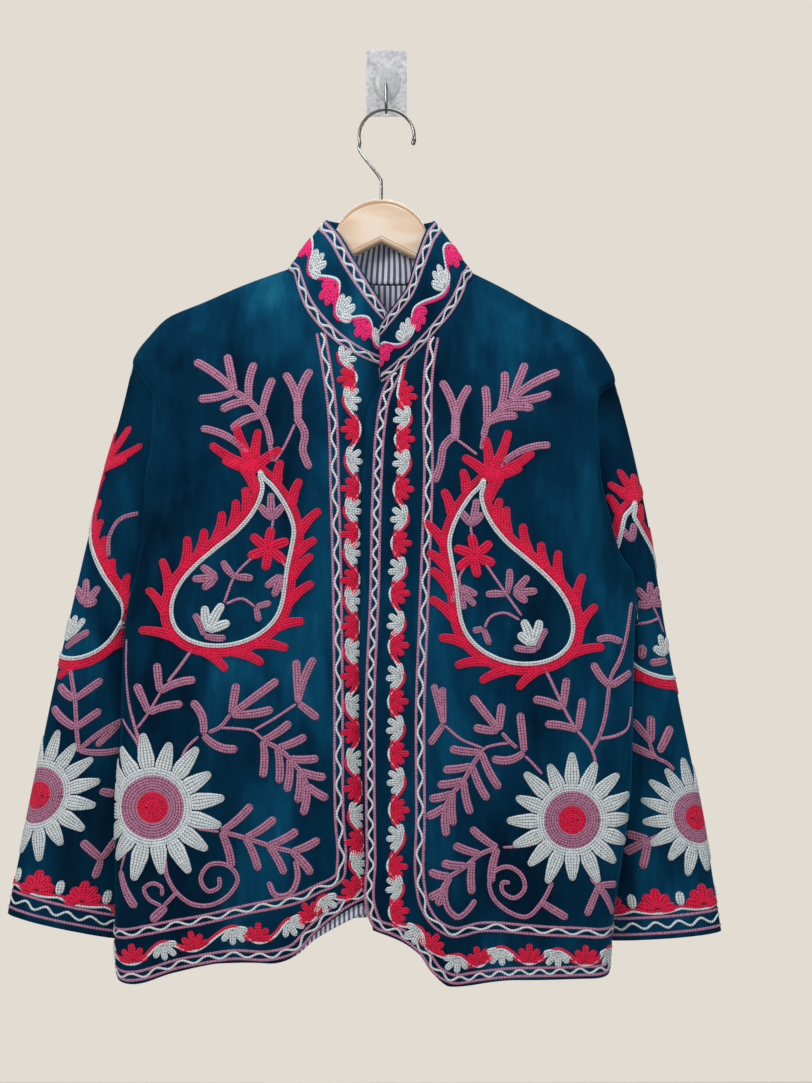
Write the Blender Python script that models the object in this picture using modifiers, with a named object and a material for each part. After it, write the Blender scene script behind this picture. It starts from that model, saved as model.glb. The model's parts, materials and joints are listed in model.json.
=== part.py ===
"""A velvet jacket with a stand collar, on a wooden hanger that hangs from a clear wall hook.

Metres. X runs to the viewer's right, Y into the wall and Z up. The origin is the middle of the wall
plate's back face. Right and left are the wearer's, so the right front is on the viewer's left.

The cloth is worked out in three sizes: reach, the distance outwards from the jacket's middle line,
drop, the distance below the origin, and y. A section of the body at one drop runs flat across the
front, turns round the side and ends at the armhole or the side seam, and the back does the same.
"""

import math

import bpy
import numpy as np

SEAM_GAP = 0.0007  # each panel stops this short of its seam
PIECE_GAP = 0.0004
LINING_GAP = 0.0008
SLEEVE_GAP = 0.0019
VELVET = 0.0022  # velvet with the cotton lining behind it
COLLAR_WALL = 0.0028
LINING = 0.0009
PRESSED = 0.46  # share of the wall that is left along a seam

MIDDLE_X = -0.005
RIDGE_Y = -0.030  # depth of the hanger, and so of the shoulder seams
RIDGE_HALF = 0.010  # the cloth's half depth just below a shoulder seam
FRONT_ROUND = 0.024  # how far in from the side a front begins to turn
UNDER_LAP = 0.0058  # how far the right front lies behind the left one

NECK_COLUMNS = 8
SHOULDER_COLUMNS = 9
CORNER_COLUMNS = 5
ARM_ROWS = 9
BODY_ROWS = 12
RINGS = (0.0, 0.03, 0.065, 0.10, 0.145, 0.195, 0.25, 0.32, 0.39, 0.47, 0.55, 0.64, 0.73, 0.82, 0.91, 1.0)
COLLAR_ROWS = 4


class Table:
    """Rows of sizes with named columns. Each column is read as a smooth curve over the first."""

    def __init__(self, columns, *rows):
        self.columns = dict(zip(columns.split(), np.array(rows, float).T))
        self.key = next(iter(self.columns.values()))

    def __call__(self, column, at):
        return smooth(self.key, self.columns[column], at)

    def first(self, column):
        return self.columns[column][0]

    def last(self, column):
        return self.columns[column][-1]


def smooth(xs, ys, at):
    """A curve through the points that doesn't overshoot them, read at the given places."""
    at = np.clip(at, xs[0], xs[-1])
    rise = np.diff(ys) / np.diff(xs)
    product = rise[:-1] * rise[1:]
    total = np.where(product > 0, rise[:-1] + rise[1:], 1.0)
    inner = np.where(product > 0, 2 * product / total, 0.0)
    slope = np.concatenate([rise[:1], inner, rise[-1:]])
    i = np.clip(np.searchsorted(xs, at, side="right") - 1, 0, len(xs) - 2)
    width = xs[i + 1] - xs[i]
    u = (at - xs[i]) / width
    start = ys[i] * (1 + 2 * u) * (1 - u) ** 2 + slope[i] * width * u * (1 - u) ** 2
    end = ys[i + 1] * u**2 * (3 - 2 * u) + slope[i + 1] * width * u**2 * (u - 1)
    return start + end


def ease(value):
    """0 below 0, 1 above 1 and smooth between."""
    value = np.clip(value, 0.0, 1.0)
    return value * value * (3 - 2 * value)


def mix(a, b, share):
    return a + (b - a) * share


# The outline of each side seen from the front. fold is the furthest reach of the body, seam the
# reach of the armhole or side seam behind it, and the last row above the armhole is its top.
OUTLINE = "drop fold seam front_y back_y back_round"
RIGHT_OUTLINE = Table(
    OUTLINE,
    (0.2009, 0.0923, 0.0923, -0.030, -0.030, 0.024),
    (0.2195, 0.1430, 0.1430, -0.030, -0.030, 0.024),
    (0.2361, 0.1813, 0.1813, -0.030, -0.030, 0.024),
    (0.2537, 0.2217, 0.2217, -0.030, -0.030, 0.024),
    (0.2703, 0.2382, 0.2382, -0.030, -0.030, 0.024),
    (0.2889, 0.2527, 0.2527, -0.030, -0.030, 0.024),
    (0.2992, 0.2568, 0.2568, -0.030, -0.030, 0.025),
    (0.3190, 0.2430, 0.2430, -0.041, -0.022, 0.028),
    (0.3387, 0.2320, 0.2312, -0.048, -0.018, 0.032),
    (0.3805, 0.2340, 0.2318, -0.052, -0.016, 0.040),
    (0.4215, 0.2400, 0.2363, -0.053, -0.016, 0.050),
    (0.4773, 0.2425, 0.2385, -0.053, -0.020, 0.070),
    (0.5180, 0.2490, 0.2455, -0.053, -0.031, 0.110),
    (0.5435, 0.2565, 0.2535, -0.052, -0.052, 0.150),
    (0.6007, 0.2620, 0.2620, -0.052, -0.052, 0.160),
    (0.6827, 0.2643, 0.2643, -0.052, -0.052, 0.160),
    (0.7525, 0.2687, 0.2687, -0.052, -0.052, 0.160),
    (0.8910, 0.2697, 0.2697, -0.052, -0.052, 0.160),
    (0.9400, 0.2650, 0.2650, -0.052, -0.052, 0.160),
)
LEFT_OUTLINE = Table(
    OUTLINE,
    (0.2051, 0.0918, 0.0918, -0.030, -0.030, 0.024),
    (0.2216, 0.1249, 0.1249, -0.030, -0.030, 0.024),
    (0.2454, 0.1673, 0.1673, -0.030, -0.030, 0.024),
    (0.2620, 0.1989, 0.1989, -0.030, -0.030, 0.024),
    (0.2733, 0.2160, 0.2160, -0.030, -0.030, 0.024),
    (0.2915, 0.2305, 0.2305, -0.030, -0.030, 0.024),
    (0.3189, 0.2418, 0.2418, -0.030, -0.030, 0.025),
    (0.3362, 0.2230, 0.2222, -0.043, -0.020, 0.028),
    (0.3550, 0.2208, 0.2180, -0.049, -0.017, 0.034),
    (0.3883, 0.2228, 0.2190, -0.052, -0.016, 0.042),
    (0.4146, 0.2239, 0.2205, -0.053, -0.016, 0.050),
    (0.4520, 0.2320, 0.2290, -0.053, -0.018, 0.062),
    (0.4935, 0.2430, 0.2405, -0.053, -0.024, 0.085),
    (0.5178, 0.2575, 0.2510, -0.053, -0.033, 0.110),
    (0.5435, 0.2600, 0.2575, -0.052, -0.052, 0.150),
    (0.5896, 0.2572, 0.2572, -0.052, -0.052, 0.160),
    (0.6594, 0.2562, 0.2562, -0.052, -0.052, 0.160),
    (0.7292, 0.2542, 0.2542, -0.052, -0.052, 0.160),
    (0.7757, 0.2491, 0.2491, -0.052, -0.052, 0.160),
    (0.8678, 0.2360, 0.2360, -0.052, -0.052, 0.160),
    (0.9400, 0.2305, 0.2305, -0.052, -0.052, 0.160),
)

# The neck seam of each front, from the front edge up to the shoulder seam.
RIGHT_NECK = Table(
    "reach drop",
    (-0.0135, 0.3100),
    (0.0026, 0.3052),
    (0.0208, 0.2978),
    (0.0411, 0.2863),
    (0.0617, 0.2681),
    (0.0775, 0.2476),
    (0.0863, 0.2256),
    (0.0923, 0.2009),
)
LEFT_NECK = Table(
    "reach drop",
    (-0.0005, 0.3257),
    (0.0045, 0.3227),
    (0.0216, 0.3082),
    (0.0398, 0.2903),
    (0.0581, 0.2702),
    (0.0756, 0.2486),
    (0.0862, 0.2277),
    (0.0918, 0.2051),
)
BACK_NECK_DROP = 0.2160

# The front edges, with the left one lapped some 38 mm over the right.
RIGHT_EDGE = Table(
    "drop reach",
    (0.3100, -0.0135),
    (0.3600, -0.0170),
    (0.4225, -0.0197),
    (0.5423, -0.0177),
    (0.6420, -0.0167),
    (0.7219, -0.0197),
    (0.8360, -0.0230),
)
LEFT_EDGE = Table(
    "drop reach",
    (0.3257, -0.0005),
    (0.3577, -0.0143),
    (0.4225, -0.0183),
    (0.5423, -0.0203),
    (0.6420, -0.0213),
    (0.7219, -0.0183),
    (0.8116, -0.0153),
    (0.8705, -0.0073),
)

RIGHT_HEM = Table(
    "reach drop",
    (-0.0230, 0.8370),
    (0.0153, 0.8446),
    (0.0383, 0.8555),
    (0.0632, 0.8725),
    (0.0911, 0.8984),
    (0.1100, 0.9030),
    (0.1580, 0.9030),
    (0.2039, 0.9114),
    (0.2468, 0.9240),
    (0.2900, 0.9210),
)
LEFT_HEM = Table(
    "reach drop",
    (-0.0073, 0.8705),
    (0.0236, 0.8835),
    (0.0436, 0.8985),
    (0.0565, 0.9164),
    (0.0695, 0.9244),
    (0.0865, 0.9244),
    (0.1373, 0.9194),
    (0.1892, 0.9184),
    (0.2600, 0.9180),
)
RIGHT_BACK_HEM = Table(
    "reach drop", (0.0, 0.8780), (0.05, 0.8810), (0.10, 0.9040), (0.16, 0.9140), (0.29, 0.9210)
)
LEFT_BACK_HEM = Table(
    "reach drop", (0.0, 0.8780), (0.03, 0.8810), (0.07, 0.9040), (0.14, 0.9140), (0.26, 0.9180)
)

# How far the cloth hangs forward of the hanger, or back to the wall, below the shoulder seam.
FRONT_FALL = Table(
    "below forward",
    (0.0, 0.0),
    (0.011, 0.001),
    (0.040, 0.010),
    (0.100, 0.023),
    (0.200, 0.033),
    (0.350, 0.038),
    (0.500, 0.041),
    (0.750, 0.045),
)
BACK_FALL = Table(
    "below back",
    (0.0, 0.0),
    (0.015, 0.0055),
    (0.050, 0.009),
    (0.150, 0.012),
    (0.350, 0.013),
    (0.750, 0.013),
)

# The largest folds of each front. forward is how far a fold stands out, or sinks in where it is
# negative, lean how far it moves outwards for each metre down.
FOLD = "reach drop lean width height forward"
RIGHT_FOLDS = (
    (0.075, 0.830, 0.10, 0.030, 0.120, 0.0060),
    (0.020, 0.780, -0.05, 0.026, 0.160, -0.0045),
    (0.185, 0.800, 0.12, 0.034, 0.150, 0.0040),
    (0.135, 0.850, -0.10, 0.026, 0.100, -0.0035),
    (0.200, 0.425, 1.60, 0.016, 0.045, -0.0030),
    (0.215, 0.500, 0.10, 0.018, 0.080, 0.0030),
    (0.215, 0.345, 0.25, 0.012, 0.060, 0.0035),
)
LEFT_FOLDS = (
    (0.062, 0.840, 0.12, 0.020, 0.110, 0.0090),
    (0.020, 0.800, -0.04, 0.024, 0.140, -0.0030),
    (0.100, 0.800, 0.05, 0.022, 0.150, -0.0055),
    (0.150, 0.780, 0.10, 0.032, 0.160, 0.0045),
    (0.205, 0.420, 0.18, 0.016, 0.080, 0.0055),
    (0.225, 0.520, 0.60, 0.014, 0.045, -0.0045),
    (0.185, 0.320, 0.70, 0.012, 0.060, 0.0030),
)

# The sleeves. outer runs down from the shoulder point, inner from the underarm.
SLEEVE = "t outer_reach outer_drop inner_reach inner_drop mid_y half"
RIGHT_SLEEVE = Table(
    SLEEVE,
    (0.00, 0.2568, 0.2992, 0.2535, 0.5435, -0.036, 0.016),
    (0.10, 0.2690, 0.3530, 0.2640, 0.5680, -0.033, 0.017),
    (0.20, 0.2850, 0.4080, 0.2610, 0.5980, -0.030, 0.019),
    (0.30, 0.2990, 0.4630, 0.2585, 0.6300, -0.028, 0.020),
    (0.45, 0.3200, 0.5520, 0.2570, 0.6850, -0.0275, 0.020),
    (0.60, 0.3390, 0.6350, 0.2560, 0.7400, -0.027, 0.020),
    (0.80, 0.3630, 0.7520, 0.2560, 0.8150, -0.027, 0.0195),
    (1.00, 0.3868, 0.8678, 0.2570, 0.8945, -0.027, 0.0195),
)
LEFT_SLEEVE = Table(
    SLEEVE,
    (0.00, 0.2418, 0.3189, 0.2575, 0.5435, -0.036, 0.016),
    (0.10, 0.2550, 0.3700, 0.2640, 0.5680, -0.033, 0.017),
    (0.20, 0.2668, 0.4220, 0.2600, 0.5980, -0.030, 0.019),
    (0.30, 0.2780, 0.4770, 0.2560, 0.6300, -0.028, 0.020),
    (0.45, 0.2930, 0.5700, 0.2500, 0.6850, -0.0275, 0.020),
    (0.60, 0.3080, 0.6480, 0.2445, 0.7400, -0.027, 0.020),
    (0.80, 0.3320, 0.7640, 0.2360, 0.8150, -0.027, 0.0195),
    (1.00, 0.3520, 0.8860, 0.2210, 0.8945, -0.027, 0.0195),
)

# The collar's upper edge. part is the share of the neck seam's length, from the under end at the
# right front, round the back of the neck, to the over end at the left front.
COLLAR_TOP = Table(
    "part x y drop",
    (0.00, 0.0085, -0.0600, 0.2610),
    (0.06, -0.0006, -0.0570, 0.2464),
    (0.14, -0.0179, -0.0515, 0.2178),
    (0.21, -0.0335, -0.0460, 0.1917),
    (0.27, -0.0471, -0.0420, 0.1686),
    (0.32, -0.0620, -0.0300, 0.1510),
    (0.37, -0.0500, -0.0190, 0.1515),
    (0.43, -0.0290, -0.0140, 0.1555),
    (0.50, -0.0055, -0.0125, 0.1578),
    (0.57, 0.0180, -0.0140, 0.1555),
    (0.63, 0.0390, -0.0190, 0.1525),
    (0.68, 0.0500, -0.0300, 0.1520),
    (0.73, 0.0411, -0.0430, 0.1650),
    (0.79, 0.0308, -0.0490, 0.1927),
    (0.86, 0.0216, -0.0570, 0.2240),
    (0.91, 0.0115, -0.0615, 0.2402),
    (0.96, -0.0005, -0.0650, 0.2570),
    (1.00, -0.0061, -0.0665, 0.2664),
)
COLLAR_BULGE = 0.0025
COLLAR_FOOT = 0.014  # share of its height at which the band starts, clear of the neck seam
COLLAR_LINING_PARTS = (0.37, 0.63)

HEM_LINING_REACH = (-0.018, 0.095)
HEM_LINING_HEIGHT = 0.045
HEM_LINING_SHOWS = Table("reach below", (-0.018, 0.013), (0.030, 0.012), (0.070, 0.006), (0.095, -0.002))
BACK_LINING_ROWS = 7

WOOD_THICK = 0.012
WOOD_EDGE = 0.0030
WOOD_TOP_DROP = 0.1306
WOOD_ARC = 0.050
WOOD_ARC_END = 72.0  # degrees from straight up where the round neck runs into the arms
WOOD_NOTCH_DROP = 0.1750
WOOD_NOTCH_SLOPE = 0.50
WOOD_ARM_HEIGHT = 0.017
WOOD_TIP_IN = 0.048  # the hanger stops this far inside the shoulder's furthest reach
WOOD_NECK_SEAT = 0.0085
WOOD_SEAT = 0.0048  # the wood's upper edge lies this far below the cloth's outer face

RING_X = 0.0005
RING_DROP = 0.0620
RING_RADIUS = 0.0287
RING_WIRE = 0.0017
RING_Y = -0.019
RING_START = -17.0  # degrees above the ring's middle on the viewer's right, where the wire ends
RING_END = 194.0

PLATE = (0.043, 0.0012, 0.070)
BOSS = (0.027, 0.0060, 0.038)
PEG_WIRE = 0.0015


class Side:
    """One half of the jacket, with sign -1 on the viewer's left."""

    def __init__(self, name, sign, outline, neck, edge, hem, back_hem, folds, sleeve, lap):
        self.name = name
        self.sign = sign
        self.outline = outline
        self.neck = neck
        self.edge = edge
        self.hem = hem
        self.back_hem = back_hem
        self.folds = folds
        self.sleeve = sleeve
        self.lap = lap
        self.arm_top = sleeve.first("outer_drop")
        self.arm_foot = sleeve.first("inner_drop")
        above = outline.columns["drop"] <= self.arm_top
        self.ridge_reach = outline.columns["fold"][above]
        self.ridge_drop = outline.columns["drop"][above]

    def x(self, reach):
        return MIDDLE_X + self.sign * reach

    def shoulder_drop(self, reach):
        return smooth(self.ridge_reach, self.ridge_drop, reach)


RIGHT = Side(
    "right",
    -1,
    RIGHT_OUTLINE,
    RIGHT_NECK,
    RIGHT_EDGE,
    RIGHT_HEM,
    RIGHT_BACK_HEM,
    RIGHT_FOLDS,
    RIGHT_SLEEVE,
    UNDER_LAP,
)
LEFT = Side(
    "left",
    1,
    LEFT_OUTLINE,
    LEFT_NECK,
    LEFT_EDGE,
    LEFT_HEM,
    LEFT_BACK_HEM,
    LEFT_FOLDS,
    LEFT_SLEEVE,
    0.0,
)


def fold_depth(side, reach, drop):
    """How far the side's large folds move the front at these places."""
    total = np.zeros(np.broadcast(reach, drop).shape)
    for at_reach, at_drop, lean, width, height, forward in side.folds:
        across = (reach - at_reach - lean * (drop - at_drop)) / width
        along = (drop - at_drop) / height
        total = total - forward * np.exp(-(across**2) - along**2)
    return total


def front_plane(side, reach, drop):
    """Depth of a front's outer face away from its side."""
    below = drop - side.shoulder_drop(reach)
    lap = side.lap * (1 - ease((reach - 0.045) / 0.060))
    return RIDGE_Y - RIDGE_HALF - FRONT_FALL("forward", below) + fold_depth(side, reach, drop) + lap


def back_plane(side, reach, drop):
    """Depth of the back's outer face away from its side."""
    below = drop - side.shoulder_drop(reach)
    return RIDGE_Y + RIDGE_HALF + BACK_FALL("back", below)


def front_turn(side, drop):
    """The four plan points (reach, y) of the curve round the side of a front at this drop."""
    fold = side.outline("fold", drop)
    seam = side.outline("seam", drop)
    seam_y = side.outline("front_y", drop)
    start = fold - FRONT_ROUND
    start_y = front_plane(side, start, drop)
    out = fold + 0.7 * (fold - seam)
    return (
        (start, start_y),
        (fold - 0.25 * FRONT_ROUND, start_y),
        (out, mix(seam_y, start_y, 0.5)),
        (seam, seam_y),
    )


def back_turn(side, drop):
    seam = side.outline("seam", drop)
    seam_y = side.outline("back_y", drop)
    length = side.outline("back_round", drop)
    start = seam - length
    start_y = back_plane(side, start, drop)
    blunt = 1 - ease((length - FRONT_ROUND) / 0.060)
    return (
        (start, start_y),
        (start + mix(0.40, 0.62, blunt) * length, start_y),
        (seam, mix(seam_y, start_y, mix(0.30, 0.60, blunt))),
        (seam, seam_y),
    )


def cubic(points, t):
    """Both coordinates of a cubic curve with these four control points."""
    weights = ((1 - t) ** 3, 3 * t * (1 - t) ** 2, 3 * t**2 * (1 - t), t**3)
    return tuple(sum(w * p[axis] for w, p in zip(weights, points)) for axis in (0, 1))


def turn_length(points):
    """Length of such a curve, from nine straight steps."""
    steps = [cubic(points, t) for t in np.linspace(0, 1, 10)]
    return sum(np.hypot(b[0] - a[0], b[1] - a[1]) for a, b in zip(steps, steps[1:]))


def surface(side, across, drop, turn, plane):
    """Points at a distance across a section. Up to the turn, across is the reach."""
    points = turn(side, drop)
    start = points[0][0]
    t = np.clip((across - start) / turn_length(points), 0.0, 1.0)
    turned = cubic(points, t)
    flat = across < start
    reach = np.where(flat, across, turned[0])
    y = np.where(flat, plane(side, across, drop), turned[1])
    return np.stack([side.x(reach), y, np.broadcast_to(-drop, reach.shape)], axis=-1)


def section_end(side, drop, turn):
    """The distance across at which a section meets its seam."""
    points = turn(side, drop)
    return points[0][0] + turn_length(points)


def row_shares(side, hem):
    """Shares of the way down a panel for its rows, with ARM_ROWS of them along the armhole."""
    angles = np.linspace(0, math.pi, ARM_ROWS + 1)
    arm = (1 - np.cos(angles)) / 2 * (side.arm_foot - side.arm_top)
    arm = np.insert(arm, 1, 0.22 * arm[1])
    below = np.linspace(side.arm_foot - side.arm_top, hem.last("drop") - side.arm_top, BODY_ROWS + 1)
    return np.concatenate([arm, below[1:]]) / (hem.last("drop") - side.arm_top)


def top_edge(side, neck, turn):
    """The neck and shoulder of a panel, as distances across and drops, from its inner edge out."""
    lengths = 1 - np.linspace(1, 0, NECK_COLUMNS + 1) ** 1.15
    reach, drop = even_points(neck.columns["reach"], neck.columns["drop"], lengths)
    end = section_end(side, drop[-1:], turn)
    across = np.concatenate([reach[:-1], end])
    ridge = even_points(side.ridge_reach, side.ridge_drop, np.linspace(0, 1, SHOULDER_COLUMNS + 1))[1][1:]
    return np.concatenate([across, section_end(side, ridge, turn)]), np.concatenate([drop, ridge])


def even_points(xs, ys, shares):
    """Points at these shares of the length of a smooth curve."""
    fine_x = np.linspace(xs[0], xs[-1], 400)
    fine_y = smooth(xs, ys, fine_x)
    length = np.concatenate([[0], np.cumsum(np.hypot(np.diff(fine_x), np.diff(fine_y)))])
    at = np.interp(shares * length[-1], length, fine_x)
    return at, smooth(xs, ys, at)


def panel_grid(side, neck, edge, hem, shares, turn, plane):
    """Rows of points over one half of the body, from the inner edge to the seam."""
    top, top_drop = top_edge(side, neck, turn)
    columns = len(top)
    corner = CORNER_COLUMNS / (columns - 1)
    hem_end = section_end(side, np.array([hem.last("drop")]), turn)[0]
    corner_share = min(0.5, turn_length(turn(side, hem.last("drop"))) / hem_end)
    count = np.linspace(0, 1, columns)
    into = np.clip((count - 1 + corner) / corner, 0, 1)
    even = np.where(into > 0, 1 - corner_share * (1 - into) ** 1.8, count / (1 - corner) * (1 - corner_share))
    pivot = top[NECK_COLUMNS]
    inner = (top - top[0]) / (pivot - top[0])
    outer = (top - pivot) / (top[-1] - pivot)
    hem_drop = hem("drop", mix(hem.first("reach"), hem_end, even))
    drop = top_drop + shares * (hem_drop - top_drop)
    first = edge(drop[:, 0])[:, None]
    last = section_end(side, drop[:, -1], turn)[:, None]
    placed = np.where(top <= pivot, mix(first, pivot, inner), mix(pivot, last, outer))
    across = mix(placed, mix(first, last, even), ease(shares / 0.40))
    across[0] = top
    near_tip = ease(np.linspace(-1, 1.5, columns - NECK_COLUMNS))
    across[0, NECK_COLUMNS:] -= SEAM_GAP * (1 + 2.4 * near_tip)
    near_arm = np.exp(-(((drop[:, -1] - side.arm_foot) / 0.030) ** 2))
    across[:, -1] -= SEAM_GAP * (1 + 2.6 * near_arm)
    drop[0, : NECK_COLUMNS + 1] += PIECE_GAP
    return surface(side, across, drop, turn, plane)


def front_grid(side):
    shares = row_shares(side, side.hem)[:, None]
    edge = lambda drop: side.edge("reach", drop)
    return panel_grid(side, side.neck, edge, side.hem, shares, front_turn, front_plane)


def back_neck(side):
    """The back neck seam as a table, level at the middle and rising to the shoulder seam."""
    reach = np.linspace(0, side.ridge_reach[0], 9)
    rise = (reach / reach[-1]) ** 3
    drop = mix(BACK_NECK_DROP, side.ridge_drop[0], rise)
    return Table("reach drop", *zip(reach, drop))


def back_half(side, other):
    """One half of the back. Its rows meet those of the other half at the middle line."""
    own = row_shares(side, side.back_hem)
    mean = (own + row_shares(other, other.back_hem)) / 2
    columns = np.linspace(0, 1, NECK_COLUMNS + SHOULDER_COLUMNS + 1)
    shares = mean[:, None] + (own - mean)[:, None] * columns[None, :]
    middle = lambda drop: np.zeros_like(drop)
    return panel_grid(side, back_neck(side), middle, side.back_hem, shares, back_turn, back_plane)


def back_grid():
    right = back_half(RIGHT, LEFT)
    left = back_half(LEFT, RIGHT)
    return np.concatenate([right[:, :0:-1], left], axis=1)


def armhole(side):
    """The armhole's loop from the shoulder point down the front and up the back."""
    angles = np.linspace(0, 2 * math.pi, 2 * ARM_ROWS, endpoint=False)
    share = (1 - np.cos(angles)) / 2
    drop = mix(side.arm_top, side.arm_foot, share)
    y = np.where(angles <= math.pi, side.outline("front_y", drop), side.outline("back_y", drop))
    return angles, share, side.outline("seam", drop), y


def sleeve_grid(side):
    """Rings from the armhole to the cuff. Each ring runs between an outer and an inner line."""
    angles, share, seam, seam_y = armhole(side)
    straight = mix(side.sleeve.first("outer_reach"), side.sleeve.first("inner_reach"), share)
    rings = []
    for t in RINGS:
        outer, inner = (side.sleeve(f"{line}_reach", t) for line in ("outer", "inner"))
        top, foot = (side.sleeve(f"{line}_drop", t) for line in ("outer", "inner"))
        leave = 1 - ease(t / 0.16)
        reach = mix(outer, inner, share) + (seam - straight) * leave + SLEEVE_GAP * (1 - ease(t / 0.05))
        swell = np.sign(np.sin(angles)) * np.abs(np.sin(angles)) ** 0.8
        tube_y = side.sleeve("mid_y", t) - side.sleeve("half", t) * swell
        y = mix(tube_y, seam_y, 1 - ease(t / 0.22))
        rings.append(np.stack([side.x(reach), y, -mix(top, foot, share)], axis=-1))
    return np.array(rings)


def neck_seam():
    """Points of the neck seam from the right front's edge, round the back, to the left front's."""
    line = []
    for side, neck, turn, plane, outwards in (
        (RIGHT, RIGHT.neck, front_turn, front_plane, True),
        (RIGHT, back_neck(RIGHT), back_turn, back_plane, False),
        (LEFT, back_neck(LEFT), back_turn, back_plane, True),
        (LEFT, LEFT.neck, front_turn, front_plane, False),
    ):
        across, drop = (a[: NECK_COLUMNS + 1] for a in top_edge(side, neck, turn))
        points = surface(side, across, drop, turn, plane)
        points = points if outwards else points[::-1]
        line.append(points if not line else points[1:])
    return np.concatenate(line)


def parts_of(line):
    """The share of a line's length at each of its points."""
    length = np.concatenate([[0], np.cumsum(np.linalg.norm(np.diff(line, axis=0), axis=1))])
    return length / length[-1]


def collar_grid(rows=COLLAR_ROWS):
    """Rows of points from the neck seam to the collar's upper edge."""
    base = neck_seam()
    part = parts_of(base)
    top = np.stack([COLLAR_TOP("x", part), COLLAR_TOP("y", part), -COLLAR_TOP("drop", part)], axis=-1)
    middle = np.array([MIDDLE_X, RIDGE_Y, 0.0])
    outwards = (base - middle) * np.array([1, 1, 0])
    outwards /= np.linalg.norm(outwards, axis=1)[:, None]
    grid = []
    for share in np.linspace(COLLAR_FOOT, 1, rows + 1):
        grid.append(mix(base, top, share) + outwards * COLLAR_BULGE * math.sin(math.pi * share))
    return np.array(grid)


def normals_of(grid):
    """Unit normals of a grid of points, pointing to the side that its rows turn from."""
    along = np.gradient(grid, axis=1)
    down = np.gradient(grid, axis=0)
    normal = np.cross(along, down)
    return normal / np.linalg.norm(normal, axis=-1)[..., None]


def moved(grid, distance, inwards):
    """A copy of a grid moved along its normals, towards the side that inwards points to."""
    normal = normals_of(grid)
    towards = np.sum(normal * inwards, axis=-1, keepdims=True)
    return grid + normal * np.where(towards < 0, -distance, distance)


def collar_lining_grid():
    grid = collar_grid()
    part = parts_of(grid[0])
    low, high = COLLAR_LINING_PARTS
    keep = (part > low) & (part < high)
    centre = np.array([MIDDLE_X, RIDGE_Y, 0.0])
    inwards = (centre - grid) * np.array([1, 1, 0])
    return moved(grid, COLLAR_WALL + 1.5 * LINING_GAP, inwards)[:, keep]


def back_lining_grid():
    """Cotton over the inside of the upper back, just under the collar, made from the back's points."""
    grid = moved(back_grid(), VELVET + LINING_GAP, np.array([0, -1, 0]))
    middle = grid.shape[1] // 2
    near = slice(middle - NECK_COLUMNS + 1, middle + NECK_COLUMNS)
    return grid[1:BACK_LINING_ROWS, near]


def hem_lining_grid():
    """Cotton behind the right front's hem, hanging below it near the front edge."""
    low, high = HEM_LINING_REACH
    reach = np.linspace(low, high, 15)
    foot = RIGHT.hem("drop", reach) + HEM_LINING_SHOWS("below", reach)
    rows = [
        surface(RIGHT, reach, foot - HEM_LINING_HEIGHT * share, front_turn, front_plane)
        for share in np.linspace(1, 0, 6)
    ]
    return moved(np.array(rows), VELVET + LINING_GAP, np.array([0, 1, 0]))


def clear_scene():
    for thing in list(bpy.data.objects):
        bpy.data.objects.remove(thing, do_unlink=True)


def collection(name):
    made = bpy.data.collections.new(name)
    bpy.context.scene.collection.children.link(made)
    return made


def material(name, colour, roughness, metallic=0.0, alpha=1.0):
    made = bpy.data.materials.new(name)
    made.use_nodes = True
    shader = made.node_tree.nodes["Principled BSDF"]
    shader.inputs["Base Color"].default_value = (*colour, 1.0)
    shader.inputs["Roughness"].default_value = roughness
    shader.inputs["Metallic"].default_value = metallic
    shader.inputs["Alpha"].default_value = alpha
    made.diffuse_color = (*colour, alpha)
    return made


def grid_faces(rows, columns, ring):
    """Quads over a grid of points, joined round at the ends of its rows where it is a ring."""
    faces = []
    for i in range(rows - 1):
        for j in range(columns if ring else columns - 1):
            k = (j + 1) % columns
            faces.append((i * columns + j, i * columns + k, (i + 1) * columns + k, (i + 1) * columns + j))
    return faces


def press_seams(made, rows, columns, seams):
    """Sets the share of the full wall at each point: least on a seam and partly pressed beside it."""
    share = np.ones((rows, columns))
    beside = (PRESSED, mix(PRESSED, 1.0, 0.25))
    for step, pressed in enumerate(beside):
        edges = {"top": share[step], "start": share[:, step], "end": share[:, -1 - step]}
        for seam in seams:
            edges[seam][:] = np.minimum(edges[seam], pressed)
    if "end" in seams:
        share[:4, -4:] = PRESSED
        share[:4, :4] = PRESSED if "start" in seams else share[:4, :4]
    group = made.vertex_groups.new(name="wall_share")
    for i, value in enumerate(share.ravel().tolist()):
        group.add([i], value, "REPLACE")


def cloth(name, grid, wall, outwards, finish, place, ring=False, seams=()):
    """A wall of cloth with the grid as its outer face, pressed thinner along its seams.

    outwards points out of its first face. seams names the edges that are sewn to other pieces.
    """
    rows, columns = grid.shape[:2]
    mesh = bpy.data.meshes.new(name)
    mesh.from_pydata(grid.reshape(-1, 3).tolist(), [], grid_faces(rows, columns, ring))
    mesh.update()
    if np.dot(mesh.polygons[0].normal, outwards) < 0:
        mesh.flip_normals()
    mesh.shade_smooth()
    mesh.materials.append(finish)
    made = bpy.data.objects.new(name, mesh)
    place.objects.link(made)
    press_seams(made, rows, columns, seams)
    shell = made.modifiers.new("wall", "SOLIDIFY")
    shell.vertex_group = "wall_share"
    shell.thickness = wall
    shell.offset = -1.0
    shell.use_rim = True
    shell.use_even_offset = False
    return made


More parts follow.
